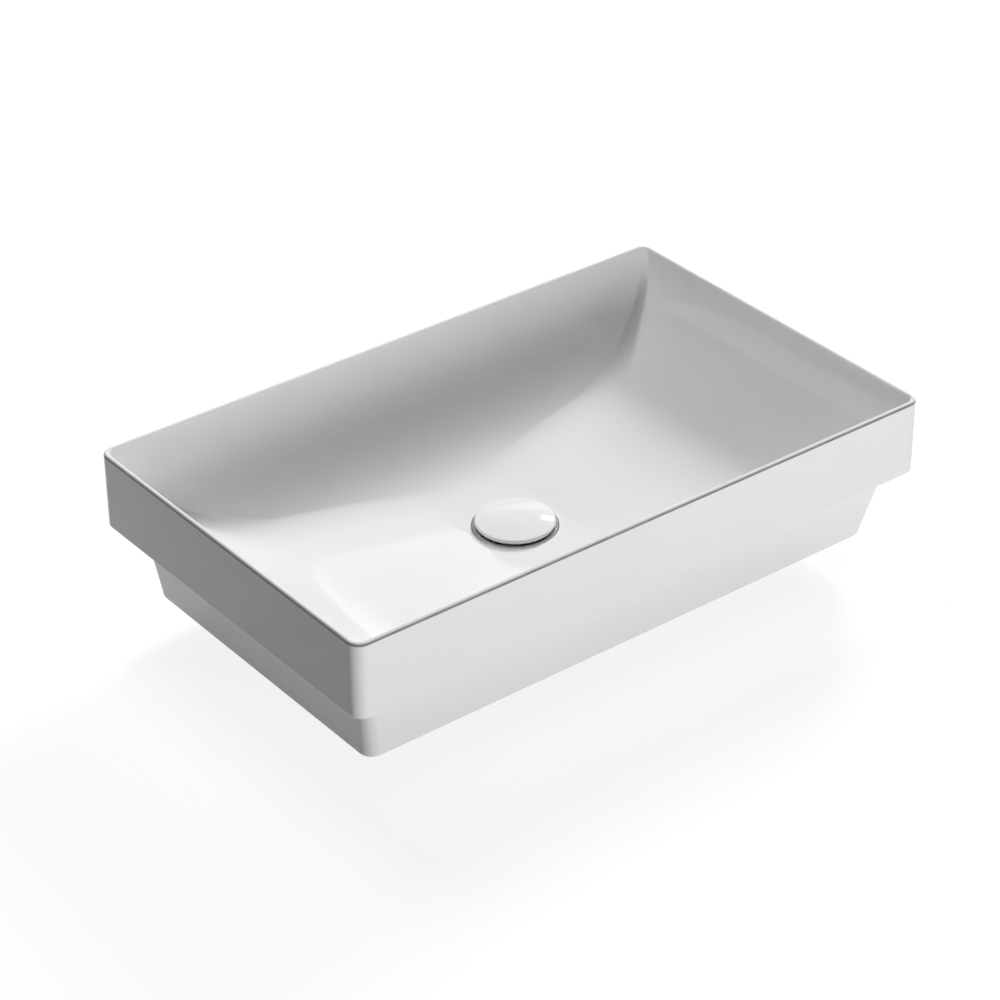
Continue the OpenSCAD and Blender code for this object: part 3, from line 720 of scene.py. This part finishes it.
def make_waste(chrome):
    """The waste fitting: its flange, its dish and its threaded tail with the relief groove."""
    edge = FLANGE_EDGE_R
    under_z = FLANGE_Z - FLANGE_T
    slope = math.atan2(DISH_H, DISH_R - BORE_R)
    tail = [(BORE_R + edge / 2, TAIL_Z), (TAIL_R - 2 * edge, TAIL_Z), (TAIL_R - edge / 4, TAIL_Z + edge)]
    tail += threaded(TAIL_R, PIPE_DEPTH, PIPE_PITCH, TAIL_Z, (TAIL_Z + 1.5 * edge, RELIEF_Z - edge / 2))
    tail += [(TAIL_R, RELIEF_Z), (RELIEF_R, RELIEF_Z + edge / 2),
             (RELIEF_R, UPPER_THREAD_Z - edge / 2), (TAIL_R, UPPER_THREAD_Z)]
    tail += threaded(TAIL_R, PIPE_DEPTH, PIPE_PITCH, UPPER_THREAD_Z,
                     (UPPER_THREAD_Z + edge / 2, NECK_Z - edge))
    flange = [(TAIL_R, NECK_Z), (NECK_R, under_z),
              (FLANGE_R - edge / 2, under_z), (FLANGE_R, under_z + edge / 2)]
    flange += [(FLANGE_R - edge * (1 - math.cos(a)), FLANGE_Z - edge * (1 - math.sin(a)))
               for a in arc(0, 90, 2 * SMALL_STEPS)]
    turns = [slope * i / SMALL_STEPS for i in range(SMALL_STEPS + 1)]
    dish = [(DISH_R + edge * (0.5 - math.sin(a)), FLANGE_Z - edge * (1 - math.cos(a))) for a in turns]
    dish += [(BORE_R + 2 * edge, THROAT_Z + 2 * edge * math.tan(slope)),
             (BORE_R + edge / 3, THROAT_Z - edge / 4),
             (BORE_R, THROAT_Z - edge), (BORE_R, TAIL_Z + edge / 2)]
    fitting = turned("waste_fitting", tail + flange + dish, "fixed", ["waste_body"], [chrome], sharp=50)


def make_spider(chrome):
    """The spider in the waste fitting, whose hub carries the cartridge."""
    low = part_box("cartridge_washer")[1].z
    high = low + SPIDER_T
    bm = bmesh.new()
    hole_r = STUD_R + FIT_GAP
    hub = [(hole_r, low), (SPIDER_HUB_R, low), (SPIDER_HUB_R, high), (hole_r, high)]
    skin(bm, [circle(r, z) for r, z in eased(hub, SPOKE_EDGE_R)], closed=True)
    start = SPIDER_HUB_R - 2 * SPOKE_EDGE_R
    reach = BORE_R + SPOKE_EDGE_R - start
    for i in range(SPOKE_N):
        spoke = bmesh.ops.create_cube(bm, size=1)["verts"]
        bmesh.ops.scale(bm, vec=(reach, SPOKE_W, SPIDER_T - SPOKE_EDGE_R), verts=spoke)
        bmesh.ops.translate(bm, vec=(start + reach / 2, 0, (low + high) / 2), verts=spoke)
        turn = Matrix.Rotation(TURN * (i + 0.5) / SPOKE_N, 3, "Z")
        bmesh.ops.rotate(bm, cent=(0, 0, 0), matrix=turn, verts=spoke)
        edges = list({e for v in spoke for e in v.link_edges})
        bmesh.ops.bevel(bm, geom=edges, offset=SPOKE_EDGE_R, affect="EDGES", segments=3,
                        profile=0.5, material=-1)
    spider = piece("waste_spider", bm, "fixed", ["waste_body"], [chrome])


def make_back_nut(brass):
    """The backnut: a collar over six lugs, on the tail's upper thread."""
    low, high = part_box("back_nut")
    r = high.x
    ease = NUT_EASE
    collar_z = high.z - (high.z - low.z) / 4
    outside = [(lugged(NUT_ROOT_R, r, ease), low.z), (lugged(NUT_ROOT_R, r, ease / 3), low.z + ease / 3),
               (lugged(NUT_ROOT_R, r), low.z + ease), (lugged(NUT_ROOT_R, r), collar_z - ease),
               (lugged(NUT_ROOT_R + ease / 3, r), collar_z - ease / 3), (r - ease / 2, collar_z),
               (r, collar_z + ease / 2), (r, high.z - ease / 2), (r - ease / 2, high.z)]
    bore_r = TAIL_R + FIT_GAP
    inside = [(bore_r + ease, high.z)]
    inside += threaded(bore_r, PIPE_DEPTH, PIPE_PITCH, UPPER_THREAD_Z, (high.z - ease, low.z + ease))
    inside += [(bore_r + ease, low.z)]
    nut = turned("backnut", outside + inside, "fixed", ["back_nut"], [brass], n=FINE_N)


def make_cone_washer(rubber):
    """The cone washer, with its lip in the waste hole and two moulded grip rings under it."""
    low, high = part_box("cone_washer")
    r, inner, lip = high.x, TAIL_R + WASHER_GAP, HOLE_R - WASHER_GAP
    wall = r - inner
    outline = [(inner, low.z)]
    flank, across = GRIP_RING_FLANK_SHARE, GRIP_RING_W_SHARE
    for start in GRIP_RING_START_SHARES:
        for share, up in ((0, 0), (flank, GRIP_RING_H), (across - flank, GRIP_RING_H), (across, 0)):
            outline.append((inner + wall * (start + share), low.z + up))
    outline += [(r - (BOSS_Z - low.z) / 4, low.z), (r, BOSS_Z), (lip, BOSS_Z),
                (lip - (lip - inner) / 2, high.z), (inner, high.z)]
    cone = turned("cone_washer_soft", eased(outline, RUBBER_EASE), "fixed", ["cone_washer"], [rubber])


# Cap and what hangs under it

def make_cap(glaze):
    """The domed cap, turned in one piece, with a rounded edge that turns under."""
    low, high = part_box("cap_disc")
    r = high.x
    edge_z = low.z + CAP_EDGE_H
    dome_r = r - CAP_EDGE_R
    rise = high.z - edge_z - CAP_EDGE_R
    sphere_r = (dome_r * dome_r + rise * rise) / (2 * rise)
    rim_turn = 90 - math.degrees(math.asin(dome_r / sphere_r))
    places = [(POLE_R, low.z)]
    places += [(r - CAP_EDGE_H * (1 - math.sin(a)), edge_z - CAP_EDGE_H * math.cos(a))
               for a in arc(0, 90, CAP_STEPS)]
    places += [(dome_r + CAP_EDGE_R * math.cos(a), edge_z + CAP_EDGE_R * math.sin(a))
               for a in arc(0, rim_turn, CAP_STEPS)[1:]]
    last = places[-1][0]
    for i in range(1, DOME_STEPS + 1):
        x = last + (POLE_R - last) * i / DOME_STEPS
        places.append((x, high.z - sphere_r + math.sqrt(sphere_r ** 2 - x * x)))
    cap = turned("cap_dome", places, "cap", ["cap_disc"], [glaze], closed=False)


def make_carrier(chrome):
    """The plate under the cap and its hub, with a blind hole for the stem."""
    low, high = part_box("cap_carrier")
    r, ease = high.x, CARRIER_T / 6
    plate_z = high.z - CARRIER_T
    hole_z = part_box("plunger")[1].z + FIT_GAP
    hole_r = STEM_R + FIT_GAP
    places = [(POLE_R, hole_z), (hole_r - ease, hole_z), (hole_r, hole_z - ease),
              (hole_r, low.z + ease), (hole_r + ease, low.z),
              (CARRIER_HUB_R - ease, low.z), (CARRIER_HUB_R, low.z + ease)]
    places += [(CARRIER_HUB_R + 3 * ease * (1 - math.cos(a)), plate_z - 3 * ease * (1 - math.sin(a)))
               for a in arc(0, 90)]
    places += [(r - CARRIER_T / 2 - ease, plate_z), (r - CARRIER_T / 2, plate_z + ease / 2),
               (r, high.z - ease), (r - ease, high.z), (POLE_R, high.z)]
    carrier = turned("cap_carrier_plate", places, "cap", ["cap_carrier"], [chrome], closed=False)


def make_cap_seal(rubber):
    """The lip seal that closes on the dish. Its lip follows the dish's slope."""
    low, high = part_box("cap_seal")
    r = high.x
    slope = DISH_H / (DISH_R - BORE_R)
    outline = [(r - SEAL_W, high.z), (r - SEAL_W, low.z), (r - SEAL_W / 3, low.z),
               (r, low.z + SEAL_W / 3 * slope), (r, high.z)]
    seal = turned("cap_lip_seal", eased(outline, RUBBER_EASE), "cap", ["cap_seal"], [rubber])


def make_cap_lock_nut(brass):
    """The nut that locks the carrier on the stem."""
    low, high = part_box("cap_lock_nut")
    bore_r = STEM_R + FIT_GAP
    bore = [(bore_r + COLLAR_EASE, high.z), (bore_r, high.z - COLLAR_EASE),
            (bore_r, low.z + COLLAR_EASE), (bore_r + COLLAR_EASE, low.z)]
    hex_nut("cap_lock_nut_hex", "cap_lock_nut", "cap", STEM_NUT_AF, bore, brass)


# Cartridge

def make_collar(brass):
    """The cartridge's cover: knurled outside, with the stem seal's gland inside."""
    low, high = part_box("cartridge_collar")
    seal_low, seal_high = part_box("stem_seal")
    shelf_z = high.z - COLLAR_T
    bore_r = STEM_R + FIT_GAP
    gland_r = seal_high.x + FIT_GAP
    inside = [(bore_r, high.z - COLLAR_EASE), (bore_r, seal_high.z + FIT_GAP),
              (gland_r, seal_high.z + FIT_GAP), (gland_r, seal_low.z - FIT_GAP),
              (bore_r, seal_low.z - FIT_GAP), (bore_r, shelf_z),
              (GRIP_R, shelf_z), (GRIP_R, low.z + COLLAR_EASE)]

    def knurl(a):
        return high.x - KNURL_DEPTH * (0.5 + 0.5 * math.cos(a * KNURL_N))

    outside = [(GRIP_R + COLLAR_EASE, low.z), (high.x - 2 * COLLAR_EASE, low.z),
               (high.x - KNURL_DEPTH, low.z + COLLAR_EASE), (knurl, low.z + 2 * COLLAR_EASE),
               (knurl, shelf_z - COLLAR_EASE), (high.x - KNURL_DEPTH, shelf_z),
               (high.x - KNURL_DEPTH, high.z - 2 * COLLAR_EASE), (high.x - 3 * COLLAR_EASE, high.z),
               (bore_r + COLLAR_EASE, high.z)]
    collar = turned("cartridge_cover", inside + outside, "fixed", ["cartridge_collar"], [brass],
                    n=FINE_N)


def make_sleeve(brass):
    """The sleeve: a threaded stud, a hexagon, the body and a bore with four guide ribs."""
    low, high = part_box("cartridge_sleeve")
    ease = COLLAR_EASE
    neck_r = GRIP_R - FIT_GAP
    shoulder_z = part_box("cartridge_collar")[0].z - FIT_GAP
    ribs_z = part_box("index_rotor")[0].z + ROTOR_LUG_H + 2 * FACE_GAP
    rib_half = RIB_W / 2 / (SLEEVE_BORE_R - RIB_H / 2)

    def ribbed(a):
        return SLEEVE_BORE_R - RIB_H * on_lug(a, RIB_N, rib_half)

    places = [(POLE_R, low.z), (STUD_R - FINE_DEPTH, low.z), (STUD_R, low.z + FINE_DEPTH)]
    places += threaded(STUD_R, FINE_DEPTH, FINE_PITCH, low.z,
                       (low.z + FINE_DEPTH, SLEEVE_Z - FINE_DEPTH))
    places += [(STUD_R, SLEEVE_Z)]
    places += hexagon_stations(SLEEVE_AF, SLEEVE_Z, SLEEVE_Z + SLEEVE_HEX_H)
    places += [(SLEEVE_R - 4 * ease, SLEEVE_Z + SLEEVE_HEX_H), (SLEEVE_R - 4 * ease, shoulder_z - ease),
               (SLEEVE_R - 5 * ease, shoulder_z), (neck_r, shoulder_z + ease),
               (neck_r, high.z - ease), (neck_r - ease, high.z), (SLEEVE_BORE_R + ease, high.z),
               (ribbed, high.z - ease), (ribbed, ribs_z + ease), (SLEEVE_BORE_R, ribs_z),
               (SLEEVE_BORE_R, SPRING_Z), (POLE_R, SPRING_Z)]
    sleeve = turned("cartridge_barrel", places, "fixed", ["cartridge_sleeve"], [brass],
                    closed=False, n=FINE_N)


def make_cartridge_nut(brass):
    """The nut that holds the cartridge to the spider, on the stud's thread."""
    low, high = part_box("cartridge_nut")
    bore_r = STUD_R + FIT_GAP
    bore = [(bore_r + FINE_DEPTH, high.z)]
    bore += threaded(bore_r, FINE_DEPTH, FINE_PITCH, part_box("cartridge_sleeve")[0].z,
                     (high.z - FINE_DEPTH, low.z + FINE_DEPTH))
    bore += [(bore_r + FINE_DEPTH, low.z)]
    hex_nut("cartridge_nut_hex", "cartridge_nut", "fixed", CARTRIDGE_NUT_AF, bore, brass)


def make_spring(steel):
    """The cartridge's spring, wound with closed end coils."""
    low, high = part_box("cartridge_spring")
    coil_r = high.x - WIRE_D / 2
    rise = high.z - low.z - WIRE_D
    active = COIL_N - 2
    closed_rise = WIRE_D * END_COIL_SHARE
    stations = []
    for k in range(COIL_N * COIL_STEPS + 1):
        turns = k / COIL_STEPS
        opened = min(max(turns - 1, 0), active)
        ended = max(turns - 1 - active, 0)
        z = low.z + WIRE_D / 2 + closed_rise * (min(turns, 1) + ended)
        z += (rise - 2 * closed_rise) * opened / active
        a = TURN * turns
        outward = Vector((math.cos(a), math.sin(a), 0))
        centre = outward * coil_r + Vector((0, 0, z))
        stations.append([centre + WIRE_D / 2 * (outward * math.cos(b) + Vector((0, 0, math.sin(b))))
                         for b in (TURN * j / WIRE_SIDES for j in range(WIRE_SIDES))])
    bm = bmesh.new()
    skin(bm, stations, closed=False)
    spring = piece("cartridge_coil", bm, None, ["cartridge_spring"], [steel])
    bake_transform(spring)


# Materials

def node_maker(tree):
    """A function that adds a shader node to a tree. An input is a value, or the socket that feeds it."""

    def add(kind, inputs=None, **settings):
        made = tree.nodes.new("ShaderNode" + kind)
        for key, value in settings.items():
            setattr(made, key, value)
        for socket, value in (inputs or {}).items():
            if isinstance(value, bpy.types.NodeSocket):
                tree.links.new(value, made.inputs[socket])
            else:
                made.inputs[socket].default_value = value
        return made

    return add


def surface(name, colour, roughness, metallic=0.0, **constants):
    """A new material, with its maker of nodes, its object coordinates and its maker of links into the
    shader."""
    material = bpy.data.materials.new(name)
    material.use_nodes = True
    tree = material.node_tree
    shader = tree.nodes["Principled BSDF"]
    shader.inputs["Base Color"].default_value = (*colour, 1)
    shader.inputs["Roughness"].default_value = roughness
    shader.inputs["Metallic"].default_value = metallic
    for socket, value in constants.items():
        shader.inputs[socket.replace("_", " ")].default_value = value

    def link(source, socket):
        tree.links.new(source, shader.inputs[socket])

    add = node_maker(tree)
    return material, add, add("TexCoord").outputs["Object"], link


def noise(add, place, scale, detail=2.0, rough=0.5):
    """Cloudy values near 0.5."""
    made = add("TexNoise", {"Vector": place, "Scale": scale, "Detail": detail, "Roughness": rough})
    return made.outputs["Fac"]


def span(add, value, low, high, start=NOISE_LOW, end=NOISE_HIGH, curve="LINEAR"):
    """A value in start to end as one in low to high."""
    ranges = {"From Min": start, "From Max": end, "To Min": low, "To Max": high}
    made = add("MapRange", {"Value": value, **ranges}, interpolation_type=curve)
    return made.outputs["Result"]


def maths(add, operation, first, second):
    """One sum, product or comparison of two values."""
    made = add("Math", {0: first, 1: second}, operation=operation)
    return made.outputs["Value"]


def bump(add, height, distance, normal=None):
    """Tilts the surface by a height, with the depth in metres."""
    inputs = {"Height": height, "Distance": distance}
    if normal is not None:
        inputs["Normal"] = normal
    return add("Bump", inputs).outputs["Normal"]


def mix(add, share, first, second):
    """Two colours, the second by its share."""
    ends = [end if isinstance(end, bpy.types.NodeSocket) else (*end, 1) for end in (first, second)]
    return add("Mix", {0: share, 6: ends[0], 7: ends[1]}, data_type="RGBA").outputs[2]


def rings_and_height(add, place):
    """Distance from the Z axis and height, as a vector in which turned marks run round the piece."""
    parts = add("SeparateXYZ", {"Vector": place})
    flat = add("CombineXYZ", {"X": parts.outputs["X"], "Y": parts.outputs["Y"]})
    out = add("VectorMath", {0: flat.outputs["Vector"]}, operation="LENGTH")
    return add("CombineXYZ", {"X": out.outputs["Value"], "Z": parts.outputs["Z"]}).outputs["Vector"]


def glaze_material():
    """White glaze over fireclay: glossy, with faint waves and a few pinholes. Painted shade darkens it
    to a grey line on the rim's outer edge and a little in the bowl's creases."""
    material, add, place, link = surface("white_glaze", GLAZE_TONE, 0.06, IOR=1.52)
    cloud = noise(add, place, 7, 3)
    tone = mix(add, span(add, cloud, 0, 1, 0.35, 0.65), GLAZE_SHADE, GLAZE_TONE)
    # Painted shade: a dark line, in patches, on the rim's outer edge, and a darker grey in the bowl's
    # creases
    rim_shade_mask = add("Attribute", attribute_name="painted_rim_shade").outputs["Fac"]
    patchy_rim_shade = maths(add, "MULTIPLY", rim_shade_mask, span(add, noise(add, place, 60), 0.85, 1.0))
    crease_shaded = mix(add, add("Attribute", attribute_name="crease").outputs["Fac"], tone, PAINTED_CREASE_SHADE)
    link(mix(add, patchy_rim_shade, crease_shaded, PAINTED_RIM_SHADE), "Base Color")
    link(span(add, noise(add, place, 40, 4), 0.04, 0.09), "Roughness")
    waves = bump(add, noise(add, place, 11, 1), 0.14 * MM)
    peel = bump(add, noise(add, place, 380, 1), 0.0035 * MM, waves)
    holes = add("TexVoronoi", {"Vector": place, "Scale": 70.0, "Randomness": 1.0})
    few = maths(add, "GREATER_THAN", holes.outputs["Color"], 0.93)
    dent = maths(add, "MULTIPLY", few, span(add, holes.outputs["Distance"], 1, 0, 0.0, 0.02))
    link(bump(add, maths(add, "SUBTRACT", 1.0, dent), 0.04 * MM, peel), "Normal")
    return material


def biscuit_material():
    """Bare fireclay on the foot, where the basin stood in the kiln: pale, speckled and rough."""
    material, add, place, link = surface("bare_fireclay", (0.76, 0.70, 0.61), 0.85)
    grain = noise(add, place, 900, 3, 0.6)
    cloud = span(add, noise(add, place, 30, 3), 0, 1)
    tone = mix(add, cloud, (0.74, 0.68, 0.59), (0.80, 0.76, 0.69))
    specks = span(add, noise(add, place, 420, 1), 0, 0.6, 0.66, 0.72)
    link(mix(add, specks, tone, (0.42, 0.34, 0.27)), "Base Color")
    link(span(add, grain, 0.75, 0.95), "Roughness")
    link(bump(add, grain, 0.25 * MM), "Normal")
    return material


def chrome_material():
    """Polished chrome, with the faint rings of its polishing and a little haze."""
    material, add, place, link = surface("polished_chrome", (0.62, 0.63, 0.65), 0.08, metallic=1.0)
    around = rings_and_height(add, place)
    lines = noise(add, around, 2400, 2)
    haze = noise(add, place, 90, 4)
    link(mix(add, span(add, haze, 0, 1), (0.60, 0.61, 0.63), (0.66, 0.67, 0.69)), "Base Color")
    link(span(add, haze, 0.22, 0.34), "Roughness")
    link(bump(add, lines, 0.0015 * MM), "Normal")
    return material


def brass_material():
    """Turned brass, bright in its cuts and browner in patches."""
    material, add, place, link = surface("turned_brass", (0.79, 0.60, 0.30), 0.3, metallic=1.0)
    around = rings_and_height(add, place)
    cuts = noise(add, around, 3200, 2)
    patch = span(add, noise(add, place, 120, 4), 0, 1, 0.35, 0.65)
    link(mix(add, patch, (0.80, 0.62, 0.32), (0.68, 0.49, 0.24)), "Base Color")
    link(span(add, noise(add, place, 160, 3), 0.22, 0.42), "Roughness")
    link(bump(add, cuts, 0.012 * MM), "Normal")
    return material


def rubber_material():
    """Black moulded rubber with a dusty bloom."""
    material, add, place, link = surface("black_rubber", (0.03, 0.03, 0.032), 0.6)
    bloom = span(add, noise(add, place, 70, 4, 0.6), 0, 1, 0.45, 0.8)
    link(mix(add, bloom, (0.026, 0.026, 0.028), (0.085, 0.085, 0.088)), "Base Color")
    link(span(add, noise(add, place, 240, 2), 0.5, 0.75), "Roughness")
    link(bump(add, noise(add, place, 2600, 2), 0.01 * MM), "Normal")
    return material


def nylon_material():
    """Natural nylon: milky, a little see-through, with faint flow marks from its mould."""
    material, add, place, link = surface("natural_nylon", (0.82, 0.82, 0.78), 0.4,
                                         Subsurface_Weight=0.25, Subsurface_Scale=2 * MM)
    flow = noise(add, place, 190, 3, 0.6)
    link(mix(add, span(add, flow, 0, 1), (0.79, 0.79, 0.74), (0.85, 0.85, 0.82)), "Base Color")
    link(span(add, flow, 0.32, 0.5), "Roughness")
    link(bump(add, noise(add, place, 1500, 2), 0.008 * MM), "Normal")
    return material


def steel_material():
    """Drawn stainless steel with fine lines along its wire and round its washers."""
    material, add, place, link = surface("drawn_steel", (0.58, 0.58, 0.59), 0.28, metallic=1.0)
    around = rings_and_height(add, place)
    lines = noise(add, around, 4200, 3)
    tone = span(add, noise(add, place, 300, 3), 0, 1)
    link(mix(add, tone, (0.54, 0.54, 0.55), (0.62, 0.62, 0.63)), "Base Color")
    link(span(add, lines, 0.2, 0.38), "Roughness")
    link(bump(add, lines, 0.006 * MM), "Normal")
    return material


def finish_nodes(material, *nodes):
    """Gives a material to CAD nodes that keep their own mesh."""
    for node in nodes:
        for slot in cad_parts[node].material_slots:
            slot.material = material


# Studio

def make_camera():
    """The photograph's camera: its place, turn and lens."""
    data = bpy.data.cameras.new("photo_camera")
    data.sensor_width = CAMERA_SENSOR_W
    data.lens = CAMERA_LENS
    camera = placed("photo_camera", data)
    forward = Vector((math.sin(CAMERA_YAW) * math.cos(CAMERA_PITCH),
                      math.cos(CAMERA_YAW) * math.cos(CAMERA_PITCH), -math.sin(CAMERA_PITCH)))
    level = Vector((math.cos(CAMERA_YAW), -math.sin(CAMERA_YAW), 0))
    up = level.cross(forward)
    right = level * math.cos(CAMERA_ROLL) + up * math.sin(CAMERA_ROLL)
    up = up * math.cos(CAMERA_ROLL) - level * math.sin(CAMERA_ROLL)
    turn = Matrix((right, up, -forward)).transposed().to_4x4()
    camera.matrix_world = Matrix.Translation(CAMERA_AT) @ turn
    bpy.context.scene.camera = camera


def soft_lamp(name, azimuth, elevation, distance, size, power, mirrored):
    """A square softbox that looks at the basin. Azimuth 0 is +X and 90 is +Y, in degrees. A lamp that
    is not mirrored lights the glaze and leaves no patch in it."""
    a, e = math.radians(azimuth), math.radians(elevation)
    towards = Vector((math.cos(a) * math.cos(e), math.sin(a) * math.cos(e), math.sin(e)))
    data = bpy.data.lights.new(name, "AREA")
    data.shape = "SQUARE"
    data.size = size
    data.energy = power
    lamp = placed(name, data)
    lamp.location = towards * distance
    lamp.rotation_mode = "QUATERNION"
    lamp.rotation_quaternion = towards.to_track_quat("Z", "Y")
    lamp.visible_glossy = mirrored


def make_world():
    """White to the camera. Mirror rays see white walls with a brighter card under a grey ceiling."""
    world = bpy.data.worlds.new("studio")
    bpy.context.scene.world = world
    world.use_nodes = True
    tree = world.node_tree
    background = tree.nodes["Background"]
    background.inputs["Color"].default_value = (1, 1, 1, 1)

    add = node_maker(tree)
    path = add("LightPath")
    place = add("TexCoord").outputs["Generated"]
    height = add("SeparateXYZ", {"Vector": place}).outputs["Z"]
    low = span(add, height, 1.0, 0.0, *WALL_TOP, curve="SMOOTHSTEP")
    towards = (math.cos(CARD_AZIMUTH), math.sin(CARD_AZIMUTH), 0)
    facing = add("VectorMath", {0: place, 1: towards}, operation="DOT_PRODUCT").outputs["Value"]
    card = span(add, facing, 0.0, CARD_LEVEL, *CARD_EDGE, curve="SMOOTHSTEP")
    walls = maths(add, "ADD", card, 1 - CEILING_LEVEL)
    mirrored = maths(add, "ADD", maths(add, "MULTIPLY", walls, low), CEILING_LEVEL)
    level = AMBIENT_LEVEL
    for ray, seen in (("Is Glossy Ray", mirrored), ("Is Transmission Ray", 1.0), ("Is Camera Ray", 1.0)):
        level = add("Mix", {0: path.outputs[ray], 2: level, 3: seen}).outputs[0]
    tree.links.new(level, background.inputs["Strength"])


def floor_material():
    """Pale paper that the camera and mirrors see lit white, but for the object's soft shadow. From below
    it is clear, so that the underside can be seen."""
    material = bpy.data.materials.new("floor_paper")
    material.use_nodes = True
    material.node_tree.nodes.clear()
    add = node_maker(material.node_tree)
    paper = add("BsdfDiffuse", {"Color": (FLOOR_TONE, FLOOR_TONE, FLOOR_TONE, 1)})
    seen_paper = add("BsdfDiffuse", {"Color": (SEEN_FLOOR_TONE, SEEN_FLOOR_TONE, SEEN_FLOOR_TONE, 1)})
    glow = add("Emission", {"Strength": FLOOR_GLOW})
    white = add("AddShader", {0: seen_paper.outputs["BSDF"], 1: glow.outputs["Emission"]})
    path = add("LightPath")
    seen = maths(add, "MAXIMUM", path.outputs["Is Camera Ray"], path.outputs["Is Glossy Ray"])
    above = add("MixShader", {0: seen, 1: paper.outputs["BSDF"], 2: white.outputs["Shader"]})
    from_below = add("NewGeometry").outputs["Backfacing"]
    clear = add("BsdfTransparent").outputs["BSDF"]
    sided = add("MixShader", {0: from_below, 1: above.outputs["Shader"], 2: clear})
    add("OutputMaterial", {"Surface": sided.outputs["Shader"]})
    return material


def make_floor():
    """A plain floor under the lowest point."""
    bm = bmesh.new()
    bmesh.ops.create_grid(bm, x_segments=1, y_segments=1, size=FLOOR_HALF)
    bmesh.ops.translate(bm, vec=(0, 0, cad_box[0].z), verts=bm.verts)
    mesh = bpy.data.meshes.new("studio_floor")
    bm.to_mesh(mesh)
    bm.free()
    floor = placed("studio_floor", mesh)
    mesh.materials.append(floor_material())


bpy.context.scene.view_settings.view_transform = "Standard"
make_camera()
make_world()
make_floor()
for lamp in LAMPS:
    soft_lamp(*lamp)

glaze = glaze_material()
chrome = chrome_material()
brass = brass_material()
rubber = rubber_material()
nylon = nylon_material()
steel = steel_material()

make_basin(glaze, biscuit_material())
make_waste(chrome)
make_spider(chrome)
washer("flange_seal_ring", "flange_seal", "fixed",
       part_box("flange_seal")[1].x - FLANGE_SEAL_W + RECESS_GAP, RUBBER_EASE, rubber)
make_cone_washer(rubber)
washer("slip_ring", "slip_washer", "fixed", TAIL_R + WASHER_GAP, RUBBER_EASE, nylon)
make_back_nut(brass)
make_cap(glaze)
make_carrier(chrome)
make_cap_seal(rubber)
make_cap_lock_nut(brass)
make_collar(brass)
make_sleeve(brass)
make_spring(steel)
washer("thrust_ring", "thrust_washer", "cap", SPIGOT_R + FIT_GAP, THIN_EASE, steel)
washer("lock_washer_ring", "cartridge_washer", "fixed", STUD_R + FIT_GAP, THIN_EASE, steel)
make_cartridge_nut(brass)
finish_nodes(brass, "plunger")
finish_nodes(nylon, "cap_bond_pad", "index_rotor")
finish_nodes(rubber, "stem_seal")
